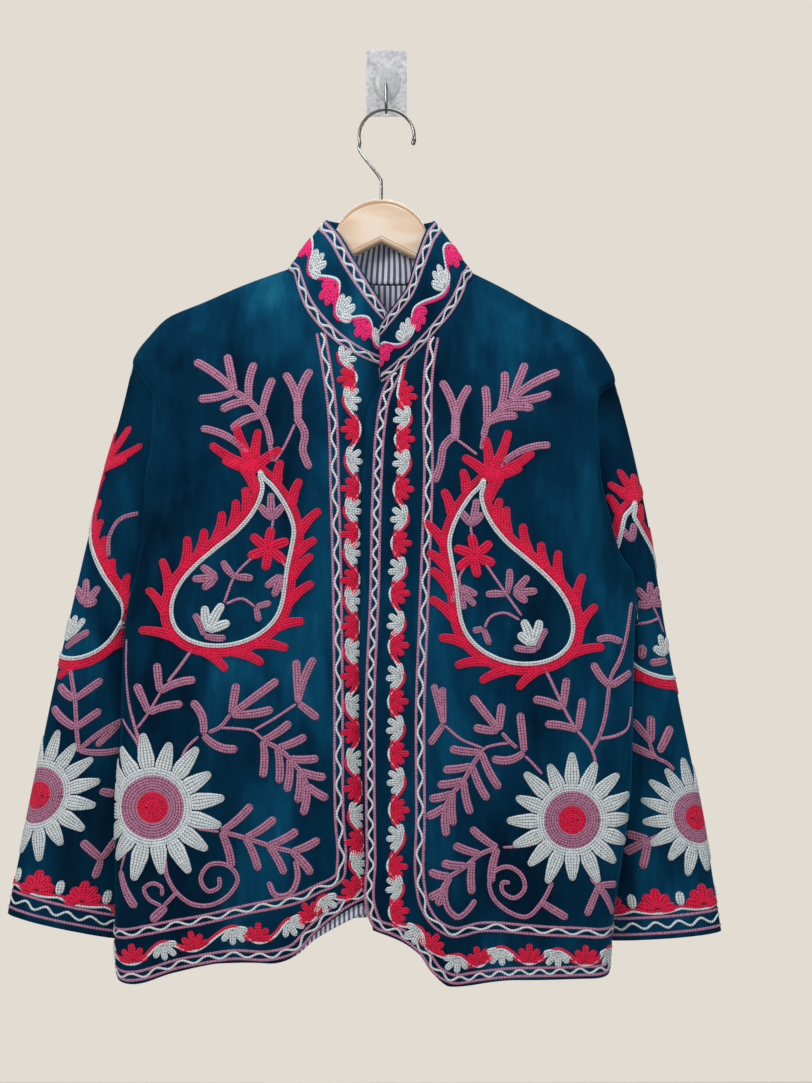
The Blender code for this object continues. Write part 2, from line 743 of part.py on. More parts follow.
def wood_top(side, reach):
    """Drop of the hanger's upper edge: a round neck, then the line of the shoulder."""
    arc_end = WOOD_ARC * math.sin(math.radians(WOOD_ARC_END))
    arc_drop = WOOD_TOP_DROP + WOOD_ARC - np.sqrt(WOOD_ARC**2 - np.minimum(reach, arc_end) ** 2)
    start = side.ridge_reach[0]
    seat = WOOD_SEAT + WOOD_NECK_SEAT * (1 - ease((reach - start) / 0.050))
    under_cloth = side.shoulder_drop(reach) + seat
    start_drop = side.ridge_drop[0] + WOOD_SEAT + WOOD_NECK_SEAT
    down = (reach - arc_end) / (start - arc_end)
    between = mix(arc_drop, start_drop, np.clip(down, 0, 1))
    return np.where(reach < start, between, under_cloth)


def wood_foot(side, reach):
    """Drop of the hanger's lower edge, with a notch under its middle."""
    under_arm = side.shoulder_drop(reach) + WOOD_SEAT + WOOD_ARM_HEIGHT
    notch = WOOD_NOTCH_DROP + WOOD_NOTCH_SLOPE * reach
    return np.where(reach < side.ridge_reach[0], notch, np.minimum(under_arm, notch))


def hanger_half(side):
    """Upper and lower points of half of the hanger, from its middle out to its round tip."""
    tip = side.ridge_reach[-1] - WOOD_TIP_IN
    start = side.ridge_reach[0]
    neck = WOOD_ARC * np.sin(np.radians(np.linspace(0, WOOD_ARC_END, 8)))
    reach = np.concatenate([neck, np.linspace(neck[-1], start, 4)[1:], np.linspace(start, tip, 8)[1:]])
    top, foot = wood_top(side, reach), wood_foot(side, reach)
    radius = (foot[-1] - top[-1]) / 2
    middle = (foot[-1] + top[-1]) / 2
    slope = (middle - (foot[-3] + top[-3]) / 2) / (reach[-1] - reach[-3])
    for degrees in (40, 65):
        angle = math.radians(degrees)
        out = radius * math.sin(angle)
        reach = np.append(reach, tip + out)
        top = np.append(top, middle + slope * out - radius * math.cos(angle))
        foot = np.append(foot, middle + slope * out + radius * math.cos(angle))
    return side.x(reach), top, foot


def wood_slab(name, halves, thick, edge, finish, place):
    """A flat piece in the XZ plane between its upper and lower points, with rounded edges."""
    (right_x, right_top, right_foot), (left_x, left_top, left_foot) = halves
    x = np.concatenate([right_x[:0:-1], left_x])
    top = np.concatenate([right_top[:0:-1], left_top])
    foot = np.concatenate([right_foot[:0:-1], left_foot])
    count = len(x)
    points = [(x[i], 0.0, -drop[i]) for drop in (top, foot) for i in range(count)]
    faces = [(i, i + 1, count + i + 1, count + i) for i in range(count - 1)]
    mesh = bpy.data.meshes.new(name)
    mesh.from_pydata(points, [], faces)
    mesh.materials.append(finish)
    made = bpy.data.objects.new(name, mesh)
    place.objects.link(made)
    slab = made.modifiers.new("thickness", "SOLIDIFY")
    slab.thickness = thick
    slab.offset = 0.0
    rounding = made.modifiers.new("rounded_edges", "BEVEL")
    rounding.width = edge
    rounding.segments = 2
    rounding.limit_method = "ANGLE"
    rounding.angle_limit = math.radians(75)
    return made


def wire(name, points, radius, resolution, finish, place):
    """A round wire along a smooth line, with closed ends."""
    curve = bpy.data.curves.new(name, "CURVE")
    curve.dimensions = "3D"
    curve.bevel_depth = radius
    curve.bevel_resolution = resolution
    curve.use_fill_caps = True
    line = curve.splines.new("POLY")
    line.points.add(len(points) - 1)
    for point, place_at in zip(line.points, points):
        point.co = (*place_at, 1.0)
    curve.materials.append(finish)
    made = bpy.data.objects.new(name, curve)
    place.objects.link(made)
    return made


def hanger_wood(finish, place):
    halves = (hanger_half(RIGHT), hanger_half(LEFT))
    made = wood_slab("hanger_wood", halves, WOOD_THICK, WOOD_EDGE, finish, place)
    made.location.y = RIDGE_Y
    return made


def lean_y(drop):
    """Depth of the hanger's hook, which leans out from the wall on its way down to the wood."""
    share = (drop - (RING_DROP - RING_RADIUS)) / (WOOD_TOP_DROP - RING_DROP + RING_RADIUS)
    return mix(RING_Y, RIDGE_Y, ease(share * 0.9))


def hanger_hook(finish, place):
    flat = []
    for degrees in np.linspace(RING_START, RING_END, 26):
        angle = math.radians(degrees)
        flat.append((RING_X + RING_RADIUS * math.cos(angle), RING_DROP - RING_RADIUS * math.sin(angle)))
    flat += [(-0.0225, 0.0845), (-0.0160, 0.0930), (-0.0100, 0.1010), (-0.0062, 0.1070)]
    flat += [(MIDDLE_X, 0.1130), (MIDDLE_X, 0.1220), (MIDDLE_X, WOOD_TOP_DROP - PIECE_GAP)]
    points = [(x, lean_y(drop), -drop) for x, drop in flat]
    return wire("hanger_hook", points, RING_WIRE, 2, finish, place)


def wall_plate(finish, place):
    width, thick, height = PLATE
    bpy.ops.mesh.primitive_cube_add(size=1.0, location=(0.0, -thick / 2, 0.0))
    made = bpy.context.object
    made.name = "wall_plate"
    made.data.transform(((width, 0, 0, 0), (0, thick, 0, 0), (0, 0, height, 0), (0, 0, 0, 1)))
    return adopt(made, finish, place)


def adopt(made, finish, place):
    """Gives a new primitive its material and collection."""
    made.data.materials.append(finish)
    for holder in list(made.users_collection):
        holder.objects.unlink(made)
    place.objects.link(made)
    return made


def wall_boss(finish, place):
    """A low oval dome on the plate: a turned profile, stretched upwards."""
    width, high, tall = BOSS
    steps = np.linspace(0, math.pi / 2, 5)
    profile = [(width / 2 * math.cos(a), high * (0.35 + 0.65 * math.sin(a))) for a in steps]
    profile = [(width / 2, 0.0)] + profile[:-1] + [(0.0, high)]
    mesh = bpy.data.meshes.new("wall_boss")
    points = [(0.0, 0.0, 0.0)] + [(r, 0.0, h) for r, h in profile]
    mesh.from_pydata(points, [(i, i + 1) for i in range(len(points) - 1)], [])
    mesh.materials.append(finish)
    made = bpy.data.objects.new("wall_boss", mesh)
    turn = made.modifiers.new("turn", "SCREW")
    turn.axis = "Z"
    turn.steps = 24
    turn.render_steps = 24
    turn.use_merge_vertices = True
    turn.merge_threshold = 0.00005
    turn.use_normal_calculate = True
    made.rotation_euler = (math.pi / 2, 0.0, 0.0)
    made.scale = (1.0, tall / width, 1.0)
    made.location = (0.0, -PLATE[1] - PIECE_GAP, 0.0)
    place.objects.link(made)
    return made


def wall_hook(finish, place):
    """A bent steel peg: out of the boss, down, forward under the ring and up to its tip."""
    seat = RING_DROP - RING_RADIUS + RING_WIRE + PIECE_GAP + PEG_WIRE
    root = -PLATE[1] - PIECE_GAP - BOSS[1] - PIECE_GAP
    bend = abs(RING_Y - root) - PEG_WIRE
    points = [(0.0, root - PEG_WIRE, -0.006), (0.0, root - PEG_WIRE, -0.014)]
    for degrees in range(0, 181, 20):
        angle = math.radians(degrees)
        points.append((0.0, RING_Y + bend * math.cos(angle), -(seat - bend) - bend * math.sin(angle)))
    points += [(0.0, RING_Y - bend - 0.0004, -0.020), (0.0, RING_Y - bend - 0.0010, -0.0095)]
    return wire("wall_hook", points, PEG_WIRE, 2, finish, place)


def build():
    clear_scene()
    place = collection("jacket_on_hanger")
    velvet = material("teal_velvet", (0.004, 0.055, 0.105), 0.85)
    cotton = material("striped_cotton", (0.40, 0.45, 0.60), 0.80)
    wood = material("lacquered_wood", (0.72, 0.55, 0.36), 0.25)
    steel = material("steel_wire", (0.60, 0.60, 0.60), 0.25, metallic=1.0)
    clear = material("clear_plastic", (0.75, 0.76, 0.80), 0.15, alpha=0.5)
    front, back = (0, -1, 0), (0, 1, 0)
    for side in (RIGHT, LEFT):
        cloth(f"{side.name}_front", front_grid(side), VELVET, (0, 0, 1), velvet, place, seams=("top", "end"))
    cloth("back", back_grid(), VELVET, back, velvet, place, seams=("top", "start", "end"))
    for side in (RIGHT, LEFT):
        grid = sleeve_grid(side)
        cloth(f"{side.name}_sleeve", grid, VELVET, (side.sign, 0, 0.5), velvet, place, True, ("top",))
    cloth("collar", collar_grid(), COLLAR_WALL, front, velvet, place, seams=("top",))
    cloth("collar_lining", collar_lining_grid(), LINING, front, cotton, place)
    cloth("back_lining", back_lining_grid(), LINING, back, cotton, place)
    cloth("hem_lining", hem_lining_grid(), LINING, front, cotton, place)
    hanger_wood(wood, place)
    hanger_hook(steel, place)
    wall_plate(clear, place)
    wall_boss(clear, place)
    wall_hook(steel, place)


build()
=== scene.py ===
"""The looks of the velvet jacket on its hanger: cloth shells, embroidery, linings and finishes.

The cloth follows the same section functions as the solids, on finer grids. Embroidery is laid out in
millimetres on each panel, as distance out from the middle and drop, and mapped through them.
"""

import json
import math

import bmesh
import bpy
import numpy as np
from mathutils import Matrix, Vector

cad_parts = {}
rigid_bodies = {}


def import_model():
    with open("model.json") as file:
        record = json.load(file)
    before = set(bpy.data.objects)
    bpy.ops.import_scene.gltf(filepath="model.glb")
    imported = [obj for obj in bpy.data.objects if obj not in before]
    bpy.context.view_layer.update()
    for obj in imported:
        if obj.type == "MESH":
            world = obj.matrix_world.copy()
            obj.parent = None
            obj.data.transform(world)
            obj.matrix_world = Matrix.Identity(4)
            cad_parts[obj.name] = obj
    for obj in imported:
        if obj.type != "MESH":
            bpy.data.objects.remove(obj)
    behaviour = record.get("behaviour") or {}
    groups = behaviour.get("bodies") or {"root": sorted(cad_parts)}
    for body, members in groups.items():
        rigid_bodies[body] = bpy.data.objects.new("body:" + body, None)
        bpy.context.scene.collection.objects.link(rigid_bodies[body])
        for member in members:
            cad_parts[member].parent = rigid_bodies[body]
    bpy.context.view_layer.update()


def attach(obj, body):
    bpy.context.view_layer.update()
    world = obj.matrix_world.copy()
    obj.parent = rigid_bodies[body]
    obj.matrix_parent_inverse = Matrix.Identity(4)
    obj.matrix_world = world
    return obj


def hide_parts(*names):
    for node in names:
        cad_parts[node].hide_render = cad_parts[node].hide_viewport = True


for thing in list(bpy.data.objects):
    bpy.data.objects.remove(thing, do_unlink=True)
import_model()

MIDDLE_X = -0.005
RIDGE_Y = -0.030
RIDGE_HALF = 0.010
FRONT_ROUND = 0.024
UNDER_LAP = 0.0058

# Grid sizes of the shells
NECK_COLUMNS = 26
SHOULDER_COLUMNS = 46
CORNER_COLUMNS = 20
ARM_ROWS = 44
BODY_ROWS = 60
SLEEVE_RINGS = 90
SLEEVE_ARM = 44
COLLAR_ROWS = 16

CLOTH = 0.0018
PRESSED = 0.22  # share of the wall that is left along a seam
PRESSED_ROWS = 24.0
COLLAR_WALL = 0.0026
VELVET = 0.0022
LINING = 0.0008
LINING_GAP = 0.0008
PIECE_GAP = 0.0004
SLEEVE_TUCK = 0.0005  # the sleeves start this far inside the body, as a seam does
BACK_LINING_ROWS = 26
MM = 0.001

STRIPE = 0.0053
STITCH = 2.8  # length of one chain stitch, in mm
STITCH_STEP = 2.6
VALLEY = 0.62  # height between two rows of chain, as a share of the rows' own
SUNK = 0.25
SLEEVE_SCALE = 1.035  # how much smaller the sleeves look than the fronts, being farther back
SLEEVE_EYE = 484.0
COLLAR_BAND = 60.0
RIM_IN = 0.0050
HOOK_BENDS = [
    (-0.0281, 0.0735),
    (-0.0280, 0.0762),
    (-0.0262, 0.0795),
    (-0.0165, 0.0930),
    (-0.0068, 0.1064),
    (-0.0051, 0.1095),
    (-0.0050, 0.1125),
]
WOOD_GROOVE = 0.0005

# The photo's camera
CAMERA_AT = (0.0206, -1.375, -0.4839)
CAMERA_DISTANCE_PX = 1300.0
PHOTO_HEIGHT_PX = 1083.0

WORLD_COLOUR = (0.761, 0.716, 0.645, 1.0)
AMBIENT = 0.42  # how strongly the pale room lights what is in it, next to how bright it looks
FLOOR_SIZE = 1.9
FLOOR_AT = (0.0, 0.0, -1.45)
LIGHTS = (
    ("key", (-1.3, -1.7, 0.7), (0.0, 0.0, -0.5), 0.9, 34.0, (1.0, 0.98, 0.95)),
    ("fill", (1.5, -1.6, -0.3), (0.0, 0.0, -0.55), 1.4, 9.0, (0.95, 0.97, 1.0)),
    ("top", (0.3, -0.5, 1.1), (0.0, 0.0, -0.3), 1.0, 16.0, (1.0, 0.99, 0.97)),
    ("back", (0.2, 1.8, 0.4), (0.0, 0.0, -0.5), 1.4, 24.0, (0.97, 0.98, 1.0)),
)

# Places along a front's hem that its borders run through
HEM_STEPS = (45, 60, 80, 110, 150, 200, 245, 290, 320)

# Each yarn's shaded and lit colours: painted shade in the gaps of its stitches and painted highlight on their crowns
YARNS = {
    "mauve": ((0.13, 0.038, 0.088), (0.51, 0.215, 0.36)),
    "rose": ((0.17, 0.075, 0.135), (0.52, 0.31, 0.44)),
    "red": ((0.30, 0.0005, 0.022), (0.84, 0.0060, 0.070)),
    "pink": ((0.36, 0.002, 0.070), (0.96, 0.020, 0.210)),
    "white": ((0.26, 0.31, 0.35), (0.72, 0.79, 0.84)),
}


class Table:
    """Rows of sizes with named columns. Each column is read as a smooth curve over the first."""

    def __init__(self, columns, *rows):
        self.columns = dict(zip(columns.split(), np.array(rows, float).T))
        self.key = next(iter(self.columns.values()))

    def __call__(self, column, at):
        return smooth(self.key, self.columns[column], at)

    def first(self, column):
        return self.columns[column][0]

    def last(self, column):
        return self.columns[column][-1]


def smooth(xs, ys, at):
    """A curve through the points that doesn't overshoot them, read at the given places."""
    at = np.clip(at, xs[0], xs[-1])
    rise = np.diff(ys) / np.diff(xs)
    product = rise[:-1] * rise[1:]
    total = np.where(product > 0, rise[:-1] + rise[1:], 1.0)
    inner = np.where(product > 0, 2 * product / total, 0.0)
    slope = np.concatenate([rise[:1], inner, rise[-1:]])
    i = np.clip(np.searchsorted(xs, at, side="right") - 1, 0, len(xs) - 2)
    width = xs[i + 1] - xs[i]
    u = (at - xs[i]) / width
    start = ys[i] * (1 + 2 * u) * (1 - u) ** 2 + slope[i] * width * u * (1 - u) ** 2
    end = ys[i + 1] * u**2 * (3 - 2 * u) + slope[i + 1] * width * u**2 * (u - 1)
    return start + end


def ease(value):
    """0 below 0, 1 above 1 and smooth between."""
    value = np.clip(value, 0.0, 1.0)
    return value * value * (3 - 2 * value)


def mix(a, b, share):
    return a + (b - a) * share


# The outline of each side seen from the front. fold is the furthest reach of the body, seam the
# reach of the armhole or side seam behind it, and the last row above the armhole is its top.
OUTLINE = "drop fold seam front_y back_y back_round"
RIGHT_OUTLINE = Table(
    OUTLINE,
    (0.2009, 0.0923, 0.0923, -0.030, -0.030, 0.024),
    (0.2195, 0.1430, 0.1430, -0.030, -0.030, 0.024),
    (0.2361, 0.1813, 0.1813, -0.030, -0.030, 0.024),
    (0.2537, 0.2217, 0.2217, -0.030, -0.030, 0.024),
    (0.2703, 0.2382, 0.2382, -0.030, -0.030, 0.024),
    (0.2889, 0.2527, 0.2527, -0.030, -0.030, 0.024),
    (0.2992, 0.2568, 0.2568, -0.030, -0.030, 0.025),
    (0.3190, 0.2430, 0.2430, -0.041, -0.022, 0.028),
    (0.3387, 0.2320, 0.2312, -0.048, -0.018, 0.032),
    (0.3805, 0.2340, 0.2318, -0.052, -0.016, 0.040),
    (0.4215, 0.2400, 0.2363, -0.053, -0.016, 0.050),
    (0.4773, 0.2425, 0.2385, -0.053, -0.020, 0.070),
    (0.5180, 0.2490, 0.2455, -0.053, -0.031, 0.110),
    (0.5435, 0.2565, 0.2535, -0.052, -0.052, 0.150),
    (0.6007, 0.2620, 0.2620, -0.052, -0.052, 0.160),
    (0.6827, 0.2643, 0.2643, -0.052, -0.052, 0.160),
    (0.7525, 0.2687, 0.2687, -0.052, -0.052, 0.160),
    (0.8910, 0.2697, 0.2697, -0.052, -0.052, 0.160),
    (0.9400, 0.2650, 0.2650, -0.052, -0.052, 0.160),
)
LEFT_OUTLINE = Table(
    OUTLINE,
    (0.2051, 0.0918, 0.0918, -0.030, -0.030, 0.024),
    (0.2216, 0.1249, 0.1249, -0.030, -0.030, 0.024),
    (0.2454, 0.1673, 0.1673, -0.030, -0.030, 0.024),
    (0.2620, 0.1989, 0.1989, -0.030, -0.030, 0.024),
    (0.2733, 0.2160, 0.2160, -0.030, -0.030, 0.024),
    (0.2915, 0.2305, 0.2305, -0.030, -0.030, 0.024),
    (0.3189, 0.2418, 0.2418, -0.030, -0.030, 0.025),
    (0.3362, 0.2230, 0.2222, -0.043, -0.020, 0.028),
    (0.3550, 0.2208, 0.2180, -0.049, -0.017, 0.034),
    (0.3883, 0.2228, 0.2190, -0.052, -0.016, 0.042),
    (0.4146, 0.2239, 0.2205, -0.053, -0.016, 0.050),
    (0.4520, 0.2320, 0.2290, -0.053, -0.018, 0.062),
    (0.4935, 0.2430, 0.2405, -0.053, -0.024, 0.085),
    (0.5178, 0.2575, 0.2510, -0.053, -0.033, 0.110),
    (0.5435, 0.2600, 0.2575, -0.052, -0.052, 0.150),
    (0.5896, 0.2572, 0.2572, -0.052, -0.052, 0.160),
    (0.6594, 0.2562, 0.2562, -0.052, -0.052, 0.160),
    (0.7292, 0.2542, 0.2542, -0.052, -0.052, 0.160),
    (0.7757, 0.2491, 0.2491, -0.052, -0.052, 0.160),
    (0.8678, 0.2360, 0.2360, -0.052, -0.052, 0.160),
    (0.9400, 0.2305, 0.2305, -0.052, -0.052, 0.160),
)

# The neck seam of each front, from the front edge up to the shoulder seam.
RIGHT_NECK = Table(
    "reach drop",
    (-0.0135, 0.3100),
    (0.0026, 0.3052),
    (0.0208, 0.2978),
    (0.0411, 0.2863),
    (0.0617, 0.2681),
    (0.0775, 0.2476),
    (0.0863, 0.2256),
    (0.0923, 0.2009),
)
LEFT_NECK = Table(
    "reach drop",
    (-0.0005, 0.3257),
    (0.0045, 0.3227),
    (0.0216, 0.3082),
    (0.0398, 0.2903),
    (0.0581, 0.2702),
    (0.0756, 0.2486),
    (0.0862, 0.2277),
    (0.0918, 0.2051),
)
BACK_NECK_DROP = 0.2160

# The front edges, with the left one lapped some 38 mm over the right.
RIGHT_EDGE = Table(
    "drop reach",
    (0.3100, -0.0135),
    (0.3600, -0.0170),
    (0.4225, -0.0197),
    (0.5423, -0.0177),
    (0.6420, -0.0167),
    (0.7219, -0.0197),
    (0.8360, -0.0230),
)
LEFT_EDGE = Table(
    "drop reach",
    (0.3257, -0.0005),
    (0.3577, -0.0143),
    (0.4225, -0.0183),
    (0.5423, -0.0203),
    (0.6420, -0.0213),
    (0.7219, -0.0183),
    (0.8116, -0.0153),
    (0.8705, -0.0073),
)

RIGHT_HEM = Table(
    "reach drop",
    (-0.0230, 0.8370),
    (0.0153, 0.8446),
    (0.0383, 0.8555),
    (0.0632, 0.8725),
    (0.0911, 0.8984),
    (0.1100, 0.9030),
    (0.1580, 0.9030),
    (0.2039, 0.9114),
    (0.2468, 0.9240),
    (0.2900, 0.9210),
)
LEFT_HEM = Table(
    "reach drop",
    (-0.0073, 0.8705),
    (0.0236, 0.8835),
    (0.0436, 0.8985),
    (0.0565, 0.9164),
    (0.0695, 0.9244),
    (0.0865, 0.9244),
    (0.1373, 0.9194),
    (0.1892, 0.9184),
    (0.2600, 0.9180),
)
RIGHT_BACK_HEM = Table(
    "reach drop", (0.0, 0.8780), (0.05, 0.8810), (0.10, 0.9040), (0.16, 0.9140), (0.29, 0.9210)
)
LEFT_BACK_HEM = Table(
    "reach drop", (0.0, 0.8780), (0.03, 0.8810), (0.07, 0.9040), (0.14, 0.9140), (0.26, 0.9180)
)

# How far the cloth hangs forward of the hanger, or back to the wall, below the shoulder seam.
FRONT_FALL = Table(
    "below forward",
    (0.0, 0.0),
    (0.011, 0.001),
    (0.040, 0.010),
    (0.100, 0.023),
    (0.200, 0.033),
    (0.350, 0.038),
    (0.500, 0.041),
    (0.750, 0.045),
)
BACK_FALL = Table(
    "below back",
    (0.0, 0.0),
    (0.015, 0.0055),
    (0.050, 0.009),
    (0.150, 0.012),
    (0.350, 0.013),
    (0.750, 0.013),
)

# The largest folds of each front. forward is how far a fold stands out, or sinks in where it is
# negative, lean how far it moves outwards for each metre down.
FOLD = "reach drop lean width height forward"
RIGHT_FOLDS = (
    (0.075, 0.830, 0.10, 0.030, 0.120, 0.0060),
    (0.020, 0.780, -0.05, 0.026, 0.160, -0.0045),
    (0.185, 0.800, 0.12, 0.034, 0.150, 0.0040),
    (0.135, 0.850, -0.10, 0.026, 0.100, -0.0035),
    (0.200, 0.425, 1.60, 0.016, 0.045, -0.0030),
    (0.215, 0.500, 0.10, 0.018, 0.080, 0.0030),
    (0.215, 0.345, 0.25, 0.012, 0.060, 0.0035),
)
LEFT_FOLDS = (
    (0.062, 0.840, 0.12, 0.020, 0.110, 0.0090),
    (0.020, 0.800, -0.04, 0.024, 0.140, -0.0030),
    (0.100, 0.800, 0.05, 0.022, 0.150, -0.0055),
    (0.150, 0.780, 0.10, 0.032, 0.160, 0.0045),
    (0.205, 0.420, 0.18, 0.016, 0.080, 0.0055),
    (0.225, 0.520, 0.60, 0.014, 0.045, -0.0045),
    (0.185, 0.320, 0.70, 0.012, 0.060, 0.0030),
)

# The sleeves. outer runs down from the shoulder point, inner from the underarm.
SLEEVE = "t outer_reach outer_drop inner_reach inner_drop mid_y half"
RIGHT_SLEEVE = Table(
    SLEEVE,
    (0.00, 0.2568, 0.2992, 0.2535, 0.5435, -0.036, 0.016),
    (0.10, 0.2690, 0.3530, 0.2640, 0.5680, -0.033, 0.017),
    (0.20, 0.2850, 0.4080, 0.2610, 0.5980, -0.030, 0.019),
    (0.30, 0.2990, 0.4630, 0.2585, 0.6300, -0.028, 0.020),
    (0.45, 0.3200, 0.5520, 0.2570, 0.6850, -0.0275, 0.020),
    (0.60, 0.3390, 0.6350, 0.2560, 0.7400, -0.027, 0.020),
    (0.80, 0.3630, 0.7520, 0.2560, 0.8150, -0.027, 0.0195),
    (1.00, 0.3868, 0.8678, 0.2570, 0.8945, -0.027, 0.0195),
)
LEFT_SLEEVE = Table(
    SLEEVE,
    (0.00, 0.2418, 0.3189, 0.2575, 0.5435, -0.036, 0.016),
    (0.10, 0.2550, 0.3700, 0.2640, 0.5680, -0.033, 0.017),
    (0.20, 0.2668, 0.4220, 0.2600, 0.5980, -0.030, 0.019),
    (0.30, 0.2780, 0.4770, 0.2560, 0.6300, -0.028, 0.020),
    (0.45, 0.2930, 0.5700, 0.2500, 0.6850, -0.0275, 0.020),
    (0.60, 0.3080, 0.6480, 0.2445, 0.7400, -0.027, 0.020),
    (0.80, 0.3320, 0.7640, 0.2360, 0.8150, -0.027, 0.0195),
    (1.00, 0.3520, 0.8860, 0.2210, 0.8945, -0.027, 0.0195),
)

# The collar's upper edge. part is the share of the neck seam's length, from the under end at the
# right front, round the back of the neck, to the over end at the left front.
COLLAR_TOP = Table(
    "part x y drop",
    (0.00, 0.0085, -0.0600, 0.2610),
    (0.06, -0.0006, -0.0570, 0.2464),
    (0.14, -0.0179, -0.0515, 0.2178),
    (0.21, -0.0335, -0.0460, 0.1917),
    (0.27, -0.0471, -0.0420, 0.1686),
    (0.32, -0.0620, -0.0300, 0.1510),
    (0.37, -0.0500, -0.0190, 0.1515),
    (0.43, -0.0290, -0.0140, 0.1555),
    (0.50, -0.0055, -0.0125, 0.1578),
    (0.57, 0.0180, -0.0140, 0.1555),
    (0.63, 0.0390, -0.0190, 0.1525),
    (0.68, 0.0500, -0.0300, 0.1520),
    (0.73, 0.0411, -0.0430, 0.1650),
    (0.79, 0.0308, -0.0490, 0.1927),
    (0.86, 0.0216, -0.0570, 0.2240),
    (0.91, 0.0115, -0.0615, 0.2402),
    (0.96, -0.0005, -0.0650, 0.2570),
    (1.00, -0.0061, -0.0665, 0.2664),
)
COLLAR_BULGE = 0.0025
COLLAR_LINING_PARTS = (0.37, 0.63)

HEM_LINING_REACH = (-0.018, 0.095)
HEM_LINING_HEIGHT = 0.045
HEM_LINING_SHOWS = Table("reach below", (-0.018, 0.013), (0.030, 0.012), (0.070, 0.006), (0.095, -0.002))

WOOD_THICK = 0.012
WOOD_EDGE = 0.0030
WOOD_TOP_DROP = 0.1306
WOOD_ARC = 0.050
WOOD_ARC_END = 72.0  # degrees from straight up where the round neck runs into the arms
WOOD_NOTCH_DROP = 0.1750
WOOD_NOTCH_SLOPE = 0.50
WOOD_ARM_HEIGHT = 0.017
WOOD_TIP_IN = 0.048  # the hanger stops this far inside the shoulder's furthest reach
WOOD_NECK_SEAT = 0.0085
WOOD_SEAT = 0.0048  # the wood's upper edge lies this far below the cloth's outer face

RING_X = 0.0005
RING_DROP = 0.0620
RING_RADIUS = 0.0287
RING_WIRE = 0.0017
RING_Y = -0.019
RING_START = -17.0  # degrees above the ring's middle on the viewer's right, where the wire ends
RING_END = 194.0

PLATE = (0.043, 0.0012, 0.070)
BOSS = (0.027, 0.0060, 0.038)
PEG_WIRE = 0.0015


class Side:
    """One half of the jacket, with sign -1 on the viewer's left."""

    def __init__(self, name, sign, outline, neck, edge, hem, back_hem, folds, sleeve, lap, creases):
        self.name = name
        self.sign = sign
        self.outline = outline
        self.neck = neck
        self.edge = edge
        self.hem = hem
        self.back_hem = back_hem
        self.folds = folds
        self.sleeve = sleeve
        self.lap = lap
        self.front_creases = creases
        self.arm_top = sleeve.first("outer_drop")
        self.arm_foot = sleeve.first("inner_drop")
        above = outline.columns["drop"] <= self.arm_top
        self.ridge_reach = outline.columns["fold"][above]
        self.ridge_drop = outline.columns["drop"][above]

    def x(self, reach):
        return MIDDLE_X + self.sign * reach

    def shoulder_drop(self, reach):
        return smooth(self.ridge_reach, self.ridge_drop, reach)


# Smaller creases, in mm and degrees: at reach, at drop, turned outwards from straight down, length,
# width and how far forward they stand.
RIGHT_CREASES = (
    (226, 300, 18, 55, 7, -1.8),
    (205, 335, 30, 45, 8, 1.5),
    (150, 262, 64, 55, 7, 1.2),
    (118, 288, 76, 50, 9, -1.3),
    (195, 425, 62, 60, 9, -2.2),
    (222, 452, 52, 45, 7, 1.8),
    (165, 452, 74, 60, 8, 1.4),
    (226, 505, 30, 50, 8, -1.5),
    (240, 575, 8, 80, 8, -1.8),
    (150, 690, 5, 120, 14, 1.9),
    (100, 640, -4, 140, 12, -1.6),
    (62, 760, 6, 110, 9, 1.3),
    (232, 850, 12, 70, 10, -1.8),
    (182, 862, -8, 60, 9, 1.6),
    (205, 700, 3, 90, 11, -1.3),
)
LEFT_CREASES = (
    (222, 318, 10, 50, 7, -1.8),
    (196, 345, 26, 50, 7, 1.4),
    (140, 268, 62, 60, 8, 1.2),
    (170, 300, 50, 60, 8, -1.5),
    (188, 395, 30, 70, 8, 1.8),
    (215, 440, 22, 55, 8, -2.0),
    (150, 480, 40, 70, 9, -1.3),
    (228, 560, 12, 70, 8, 1.6),
    (130, 660, 4, 130, 13, 1.7),
    (85, 700, -3, 120, 11, -1.5),
    (180, 740, 8, 110, 11, -1.5),
    (48, 770, 5, 100, 9, 1.3),
    (215, 845, 14, 60, 9, 1.6),
    (120, 862, 10, 50, 9, -1.4),
)
BACK_CREASES = (
    (200, 330, 28, 60, 8, 1.6),
    (170, 300, 55, 60, 8, -1.4),
    (120, 420, 50, 90, 10, 1.3),
    (205, 450, 40, 60, 8, -1.8),
    (60, 560, 6, 160, 14, 1.5),
    (140, 640, -6, 150, 13, -1.6),
    (200, 720, 5, 140, 12, 1.8),
    (30, 760, -4, 130, 12, -1.4),
    (95, 830, 8, 90, 11, 1.7),
    (170, 850, -8, 70, 10, -1.5),
)
# On the sleeves, reach is counted from the outer line, so it is negative.
SLEEVE_CREASES = (
    (-60, 560, 70, 50, 9, 2.0),
    (-40, 600, 60, 45, 8, -1.6),
    (-85, 640, 75, 50, 9, 1.6),
    (-50, 740, 20, 90, 10, 1.8),
    (-95, 780, 10, 80, 9, -1.6),
    (-30, 420, 25, 80, 10, 1.5),
    (-25, 830, 15, 60, 9, -1.4),
)

RIGHT = Side(
    "right",
    -1,
    RIGHT_OUTLINE,
    RIGHT_NECK,
    RIGHT_EDGE,
    RIGHT_HEM,
    RIGHT_BACK_HEM,
    RIGHT_FOLDS,
    RIGHT_SLEEVE,
    UNDER_LAP,
    RIGHT_CREASES,
)
LEFT = Side(
    "left",
    1,
    LEFT_OUTLINE,
    LEFT_NECK,
    LEFT_EDGE,
    LEFT_HEM,
    LEFT_BACK_HEM,
    LEFT_FOLDS,
    LEFT_SLEEVE,
    0.0,
    LEFT_CREASES,
)


